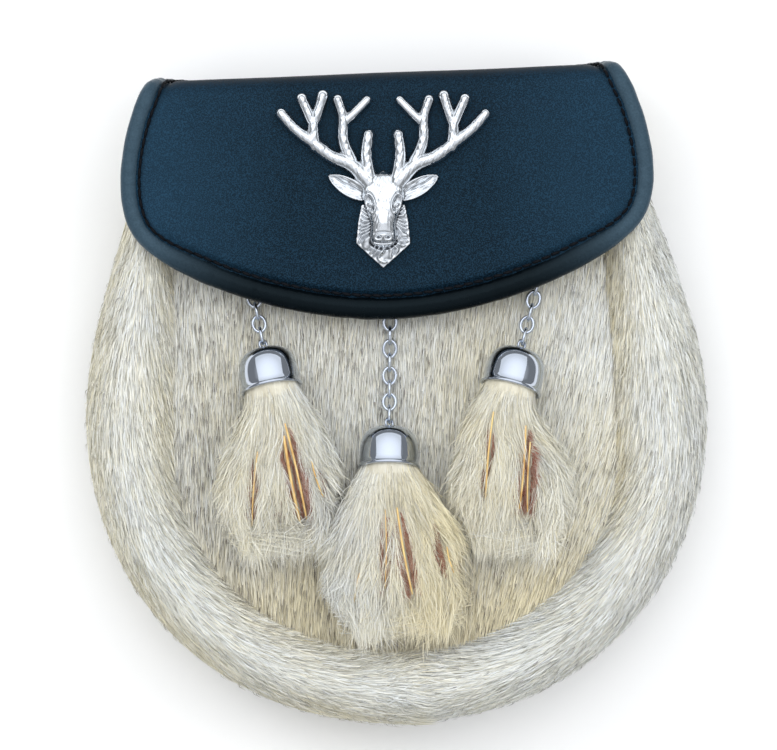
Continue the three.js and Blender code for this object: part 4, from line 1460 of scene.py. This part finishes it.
class POUCH_OT_bells(PieceOperator, bpy.types.Operator):
    """Makes the three bright bells with their rims and eyes"""

    bl_idname = "pouch.bells"
    bl_label = "Bells"

    def execute(self, context):
        upright, quads, triangles = join_parts([self.bell(), self.eye()])
        for name, row in TASSELS.items():
            points = moved(upright, bell_matrix(row))
            skin = (points, quads, triangles)
            add_piece(f"bell_{name}", *skin, FINISH["chrome"], "chrome", [f"tassel_cap_{name}"])
        return {"FINISHED"}

    def bell(self):
        radius, height, wall = CAP["radius"], CAP["height"], CAP["wall"]
        straight = height - radius
        turn = np.linspace(0, math.pi / 2, 19)[:-1]
        # A small rolled lip at the mouth, a plain body and a dome a little squarer than a ball.
        lip = ((0.05, 0.0), (0.38, 0.25), (0.42, 0.6), (0.2, 1.0), (0, 1.5), (0, 2.6))
        profile = [(radius + out, up) for out, up in lip]
        for t in turn:
            profile.append((radius * math.cos(t) ** 0.56, straight + radius * math.sin(t) ** 0.78))
        profile += [(0.9, height - 0.02), (0.9, height - wall)]
        within = radius - wall
        profile += [(within * math.cos(t), straight + within * math.sin(t)) for t in turn[::-2]]
        profile = np.array([*profile, (within, 0.6)])
        around = np.linspace(0, 2 * math.pi, 56, endpoint=False)
        ring = profile[:, None, 0, None] * np.stack([np.cos(around), np.sin(around)], 1)[None]
        z = np.broadcast_to(profile[:, None, 1, None], (*ring.shape[:2], 1))
        rings = np.concatenate([ring, z], axis=2)
        points = rings.reshape(-1, 3)
        rows, columns = rings.shape[:2]
        quads = grid_quads(rows, columns, wrap=True)
        here = np.arange(columns)
        ahead = (here + 1) % columns
        last = (rows - 1) * columns
        closing = np.stack([last + here, last + ahead, ahead, here], 1)
        return points, np.vstack([quads, closing]), []

    def eye(self):
        """The upright ring on top that the chain's last link hangs in."""
        points, quads, triangles = ring_wire(1.5, 1.5, 0.45, 28, 10)
        spin = np.array(Matrix.Rotation(math.radians(45), 3, "Z"))
        upright = points[:, [0, 2, 1]] @ spin.T
        return upright + [0, 0, CAP["height"] + 1.3], quads[:, ::-1], triangles


def ring_wire(half_x, half_y, radius, steps, sides):
    """A closed oval of wire in the XY plane; the halves are to the wire's middle."""
    turn = np.linspace(0, 2 * math.pi, steps, endpoint=False)
    centre = np.stack([half_x * np.cos(turn), half_y * np.sin(turn), 0 * turn], 1)
    out = np.stack([np.cos(turn), np.sin(turn), 0 * turn], 1)
    around = np.linspace(0, 2 * math.pi, sides, endpoint=False)
    up = np.array([0, 0, 1.0])
    ring = np.cos(around)[None, :, None] * out[:, None] + np.sin(around)[None, :, None] * up
    points = (centre[:, None] + radius * ring).reshape(-1, 3)
    r, c = np.meshgrid(np.arange(steps), np.arange(sides), indexing="ij")
    r, c = r.ravel(), c.ravel()
    n, d = (r + 1) % steps, (c + 1) % sides
    quads = np.stack([r * sides + c, n * sides + c, n * sides + d, r * sides + d], axis=1)
    return points, quads, np.zeros((0, 3), int)


class POUCH_OT_chains(PieceOperator, bpy.types.Operator):
    """Makes each chain's links where the frame has them"""

    bl_idname = "pouch.chains"
    bl_label = "Chains"

    def execute(self, context):
        radius = sizes_mm(context)["link_wire"] / 2
        for name in TASSELS:
            nodes = [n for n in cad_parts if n.startswith(f"chain_{name}_link_")]
            nodes.sort(key=lambda n: int(n.rsplit("_", 1)[1]))
            skin = join_parts([self.link(node, radius) for node in nodes])
            add_piece(f"chain_{name}", *skin, FINISH["steel"], "chain_steel", nodes)
        return {"FINISHED"}

    def link(self, node, radius):
        """A smooth link with the middle, the size and the directions of the frame's own."""
        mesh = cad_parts[node].data
        flat = np.zeros(len(mesh.vertices) * 3)
        mesh.vertices.foreach_get("co", flat)
        cloud = np.unique(np.round(flat.reshape(-1, 3) / MM, 4), axis=0)
        middle = (cloud.max(0) + cloud.min(0)) / 2
        _, _, axes = np.linalg.svd(cloud - cloud.mean(0), full_matrices=False)
        spans = [np.ptp((cloud - middle) @ axis) / 2 - radius for axis in axes[:2]]
        points, quads, triangles = ring_wire(spans[1], spans[0], radius, 36, 10)
        basis = np.stack([axes[1], axes[0], np.cross(axes[1], axes[0])])
        return points @ basis + middle, quads, triangles


class POUCH_OT_tassels(PieceOperator, bpy.types.Operator):
    """Makes the three tassels: their bodies, cut edges and combed hair"""

    bl_idname = "pouch.tassels"
    bl_label = "Tassels"

    def execute(self, context):
        size = sizes_mm(context)
        for number, (name, row) in enumerate(TASSELS.items()):
            hide = Hide(self.body_grid(name, row), wrap=True).turned_over()
            self.add_body(name, hide)
            self.add_cut_edges(name, row, hide)
            self.add_coat(name, row, hide, size, 200 + number)
        return {"FINISHED"}

    def body_grid(self, name, row, rows=64, columns=72):
        """Points of the tassel's body; its strips part along the cuts."""
        along = np.linspace(-0.07, 1, rows)
        wide, high, drop = (self.eased(along, key) for key in ("wide", "high", "drop"))
        inset = 1.6 * smooth_step(0.0, 0.12, along) + 0.3
        turn = np.radians(row["lean"] * np.clip(0.5 - along, 0, 0.5) * 2 + row["fan"])
        run = row["fall"] * BODY_SHARE * along
        in_cap = smooth_step(0.08, -0.02, along)
        tilt = math.tan(math.radians(CAP["tilt"]))
        rise = in_cap * run * tilt + (1 - in_cap) * np.clip(run, 0, 3) * 0.2
        angle = np.linspace(0, 2 * math.pi, columns, endpoint=False)
        neck = smooth_step(0.09, -0.03, along)
        half = (wide * row["spread"] * (1 - neck) + NECK_HALF * neck - inset)[:, None]
        up = (high - inset)[:, None] * np.sin(angle)[None]
        across = half * np.cos(angle)[None]
        down = run[:, None] - up * tilt * in_cap[:, None]
        x = across * np.cos(turn)[:, None] + down * np.sin(turn)[:, None]
        y = across * np.sin(turn)[:, None] - down * np.cos(turn)[:, None]
        z = rise[:, None] + up - drop[:, None]
        upper = np.clip(np.sin(angle), 0, 1)[None] ** 0.5
        for cut in CUTS[name]:
            away, share = grid_distance(x, -y, np.array([cut["start"], cut["end"]], float))
            depth = 0.8 + 1.8 * smooth_step(0, 0.6, share)
            z -= upper * depth * hump(away, 2.2)
        ripple = 0.5 * upper * drift(np.dstack([x, y * 0.25]), 5, 141)
        z += ripple * smooth_step(0.1, 0.4, along)[:, None]
        return np.dstack([x + row["x"], y + row["y"], z + CAP["mouth_z"]])

    def eased(self, along, key):
        """One measure of the sections at each place along, its corners smoothed."""
        known, values = ([row[name] for row in TASSEL_SECTIONS] for name in ("along", key))
        fine = np.linspace(-0.2, 1.1, 131)
        kernel = np.hanning(13)
        padded = np.pad(np.interp(fine, known, values), 6, "edge")
        return np.interp(along, fine, np.convolve(padded, kernel / kernel.sum(), "valid"))

    def add_body(self, name, hide):
        points, quads, triangles = capped_loft(hide.points)
        skin = (points, quads[:, ::-1], triangles[:, ::-1])
        replaced = [f"tassel_{name}"]
        add_piece(f"tassel_body_{name}", *skin, FINISH["hide"], "tassel_fur", replaced)

    def add_cut_edges(self, name, row, hide):
        """Thin strips of bare hide that stand up between the locks."""
        parts = []
        for number, cut in enumerate(CUTS[name]):
            if not cut["bare"]:
                continue
            start, end = np.array(cut["start"], float), np.array(cut["end"], float)
            share = np.linspace(0, 1, 22)[:, None]
            bow = 0.35 * np.sin(math.pi * share) * np.array([1, 0.0])
            flat = start + (end - start) * share + bow * (1 if number % 2 else -1)
            x, y = flat[:, 0] + row["x"], row["y"] - flat[:, 1]
            z = self.top_height(hide, x, y) + 2.5
            route = np.stack([x, y, z], 1)
            radius = cut["bare"] * 0.43 * (0.7 + 0.3 * np.sin(math.pi * share[:, 0]) ** 0.4)
            parts.append(tube(route, radius, 8, np.array([0.0, 0.0, 1.0]), flat=1.5))
        add_piece(f"cut_edges_{name}", *join_parts(parts), FINISH["cut"], "tassel_fur")

    def top_height(self, hide, x, y):
        """Height of the body's upper side under each place."""
        columns = hide.points.shape[1]
        top = hide.points[:, : columns // 2 + 1].reshape(-1, 3)
        away = (top[None, :, 0] - x[:, None]) ** 2 + (top[None, :, 1] - y[:, None]) ** 2
        near = np.argsort(away, axis=1)[:, :4]
        weight = 1 / (np.take_along_axis(away, near, 1) + 0.05)
        return (top[near, 2] * weight).sum(1) / weight.sum(1)

    def add_coat(self, name, row, hide, size, seed):
        rng = np.random.default_rng(seed)
        rows, columns = hide.points.shape[:2]
        count = int(size["tassel_hairs"])
        share = rng.uniform(0, 1, count) ** 0.9
        a = share * (rows - 1)
        turn = rng.uniform(0, 1, count)
        over = turn / TOP_SHARE * math.pi
        under = math.pi + (turn - TOP_SHARE) / (1 - TOP_SHARE) * math.pi
        angle = np.where(turn < TOP_SHARE, over, under)
        b = angle / (2 * math.pi) * columns
        place = hide.place(a, b)
        flat = np.stack([place[:, 0] - row["x"], row["y"] - place[:, 1]], 1)
        upper = np.sin(angle) > 0
        brown, clear, push = self.cut_effect(name, flat, upper, rng)
        fray = smooth_step(0.2, 1.0, share)
        sideways = np.cos(angle)
        # Neighbouring hairs cling together in locks, each with a lean and a lightness of its own.
        lock = np.floor(b / 2.1 + 0.8 * drift(flat, 9, seed + 5))
        own = np.sin(lock * 12.9 + np.floor(share * 4 + np.sin(lock)) * 78.2) * 437.5
        own -= np.floor(own)
        lean = -sideways * (5 + 24 * fray) + (own - 0.5) * (8 + 22 * fray)
        lean += rng.normal(0, 1, count) * (4 + 11 * fray) + push
        bend = -sideways * 14 * fray + rng.normal(0, 8, count) * (0.5 + fray)
        length = size["tassel_hair"] * rng.uniform(0.5, 1.1, count) * (0.75 + 0.35 * own)
        length *= np.where(brown > 0.3, 0.26, 1.0)
        stands = smooth_step(0, 0.2, share)
        rise = (0.9 + 0.6 * stands + 1.2 * fray) * rng.uniform(0.2, 1.2, count) * (0.6 + 0.8 * own)
        rise += 6 * np.abs(sideways) ** 3 * smooth_step(0.05, 0.6, share) * rng.uniform(0, 1, count)
        stray = rng.uniform(0, 1, count) < 0.04
        rise += np.where(stray, 3.0 * stands, 0)
        strip = drift(flat * [1, 0.12], 9, seed + 8)
        length *= 1 + 0.16 * strip * fray
        rise = np.where(brown > 0.3, rng.uniform(0.9, 1.7, count), rise)
        heading = np.radians(lean)
        able = upper & (brown < 0.3)
        kept = clear & ~self.covers_cut(name, flat, heading, length, able)
        combed = (v[kept] for v in (a, b, heading, np.radians(bend), length, rise))
        paths, normals = hide.comb(*combed, lie=1.5)
        warm_left, warm_right = row["warm"]
        warm = warm_left + (warm_right - warm_left) * smooth_step(-12, 14, flat[:, 0])
        warm = warm + 0.15 * drift(flat, 12, seed + 6)
        light = 0.95 + 0.16 * (own - 0.5) + 0.09 * strip
        light += 0.03 * drift(flat * [1, 0.2], 4, seed + 7)
        guards = rng.uniform(0, 1, count) < 0.05
        # The roots are painted darker here, as painted shade among the locks.
        tones = coat_tones(rng, light, warm, guards, 0.4, root=0.34)
        tones[:, :, 2] = brown[:, None] * np.array([1, 1, 0.8])
        width = size["hair_width"] * 0.8 * rng.uniform(0.6, 1.25, count)
        roll = rng.normal(0, 0.6, count)
        hairs = (paths, normals, width[kept], tones[kept], roll[kept])
        add_hair(f"tassel_coat_{name}", *hairs, FINISH["coat"], "tassel_fur")

    def covers_cut(self, name, flat, heading, length, able):
        """Which hairs would lie across a cut; the cutting took them away."""
        run = length[:, None] * np.stack([-np.sin(heading), np.cos(heading)], 1)
        covers = np.zeros(len(flat), bool)
        for cut in CUTS[name]:
            line = np.array([cut["start"], cut["end"]], float)
            for reach in (0.3, 0.6, 0.9):
                away, share = line_distance(flat + reach * run, line)
                near = away < cut["brown"] * 0.75 * (0.4 + 0.6 * share)
                covers |= (share > 0.01) & (share < 0.96) & near
        return covers & able

    def cut_effect(self, name, flat, upper, rng):
        """How brown the hair is beside the cuts, which hair is cut away, and how it parts."""
        count = len(flat)
        brown, push = np.zeros(count), np.zeros(count)
        clear = np.ones(count, bool)
        for cut in CUTS[name]:
            start, end = np.array(cut["start"], float), np.array(cut["end"], float)
            away, share = line_distance(flat, np.array([start, end]))
            within = upper & (share > 0.02) & (share < 0.985)
            reach = 1.3 * cut["brown"] * (0.35 + 0.65 * smooth_step(0, 0.35, share))
            beside = within & (away < reach * rng.uniform(0.75, 1.15, count))
            brown = np.where(beside, np.maximum(brown, rng.uniform(0.55, 1, count)), brown)
            clear &= ~(within & (away < cut["bare"] * 0.45))
            axis = unit(end - start)
            side = np.sign((flat - start) @ np.array([axis[1], -axis[0]]))
            # Hair that starts above the cut would cover it, so it parts to either side.
            ahead = (flat - start) @ axis / np.linalg.norm(end - start)
            near = upper & (ahead > -0.25) & (ahead < 1) & (away < 3.2)
            push = push - near * side * 24 * hump(away, 2.0)
        return brown, clear, push


class POUCH_OT_fittings(PieceOperator, bpy.types.Operator):
    """Gives the leather back, the strap loops and the hidden metal their finishes"""

    bl_idname = "pouch.fittings"
    bl_label = "Back and fittings"

    def execute(self, context):
        chosen = dict.fromkeys(("back_panel", "strap_loop_left", "strap_loop_right"), "back")
        chosen["snap_stud"] = "chrome"
        chosen.update({f"chain_staple_{name}": "steel" for name in TASSELS})
        for node, finish in chosen.items():
            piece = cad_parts[node]
            piece.data.materials.clear()
            piece.data.materials.append(FINISH[finish])
        return {"FINISHED"}


class POUCH_PT_panel(bpy.types.Panel):
    """Lists the pieces in the order they are made"""

    bl_idname = "POUCH_PT_panel"
    bl_label = "Dress Pouch"
    bl_space_type = "VIEW_3D"
    bl_region_type = "UI"
    bl_category = "Pouch"

    def draw(self, context):
        layout = self.layout
        for operator in OPERATORS:
            layout.operator(operator.bl_idname)
        for group in (context.scene.pouch_sizes, context.scene.pouch_colours):
            box = layout.box()
            for name in type(group).__annotations__:
                box.prop(group, name)


OPERATORS = [
    POUCH_OT_stage,
    POUCH_OT_front,
    POUCH_OT_gusset,
    POUCH_OT_flap,
    POUCH_OT_rolled_edge,
    POUCH_OT_badge,
    POUCH_OT_bells,
    POUCH_OT_chains,
    POUCH_OT_tassels,
    POUCH_OT_fittings,
]
CLASSES = [PouchSizes, PouchColours, *OPERATORS, POUCH_PT_panel]
FINISH = {}


def register():
    for made in CLASSES:
        bpy.utils.register_class(made)
    bpy.types.Scene.pouch_sizes = PointerProperty(type=PouchSizes)
    bpy.types.Scene.pouch_colours = PointerProperty(type=PouchColours)


def unregister():
    del bpy.types.Scene.pouch_colours
    del bpy.types.Scene.pouch_sizes
    for made in reversed(CLASSES):
        bpy.utils.unregister_class(made)


def main():
    for old in ("Cube", "Light", "Camera"):
        if old in bpy.data.objects:
            bpy.data.objects.remove(bpy.data.objects[old])
    register()
    FINISH.update(finishes())
    bpy.ops.pouch.stage()
    bpy.ops.pouch.front()
    bpy.ops.pouch.gusset()
    bpy.ops.pouch.flap()
    bpy.ops.pouch.rolled_edge()
    bpy.ops.pouch.badge()
    bpy.ops.pouch.bells()
    bpy.ops.pouch.chains()
    bpy.ops.pouch.tassels()
    bpy.ops.pouch.fittings()


if __name__ == "__main__":
    main()
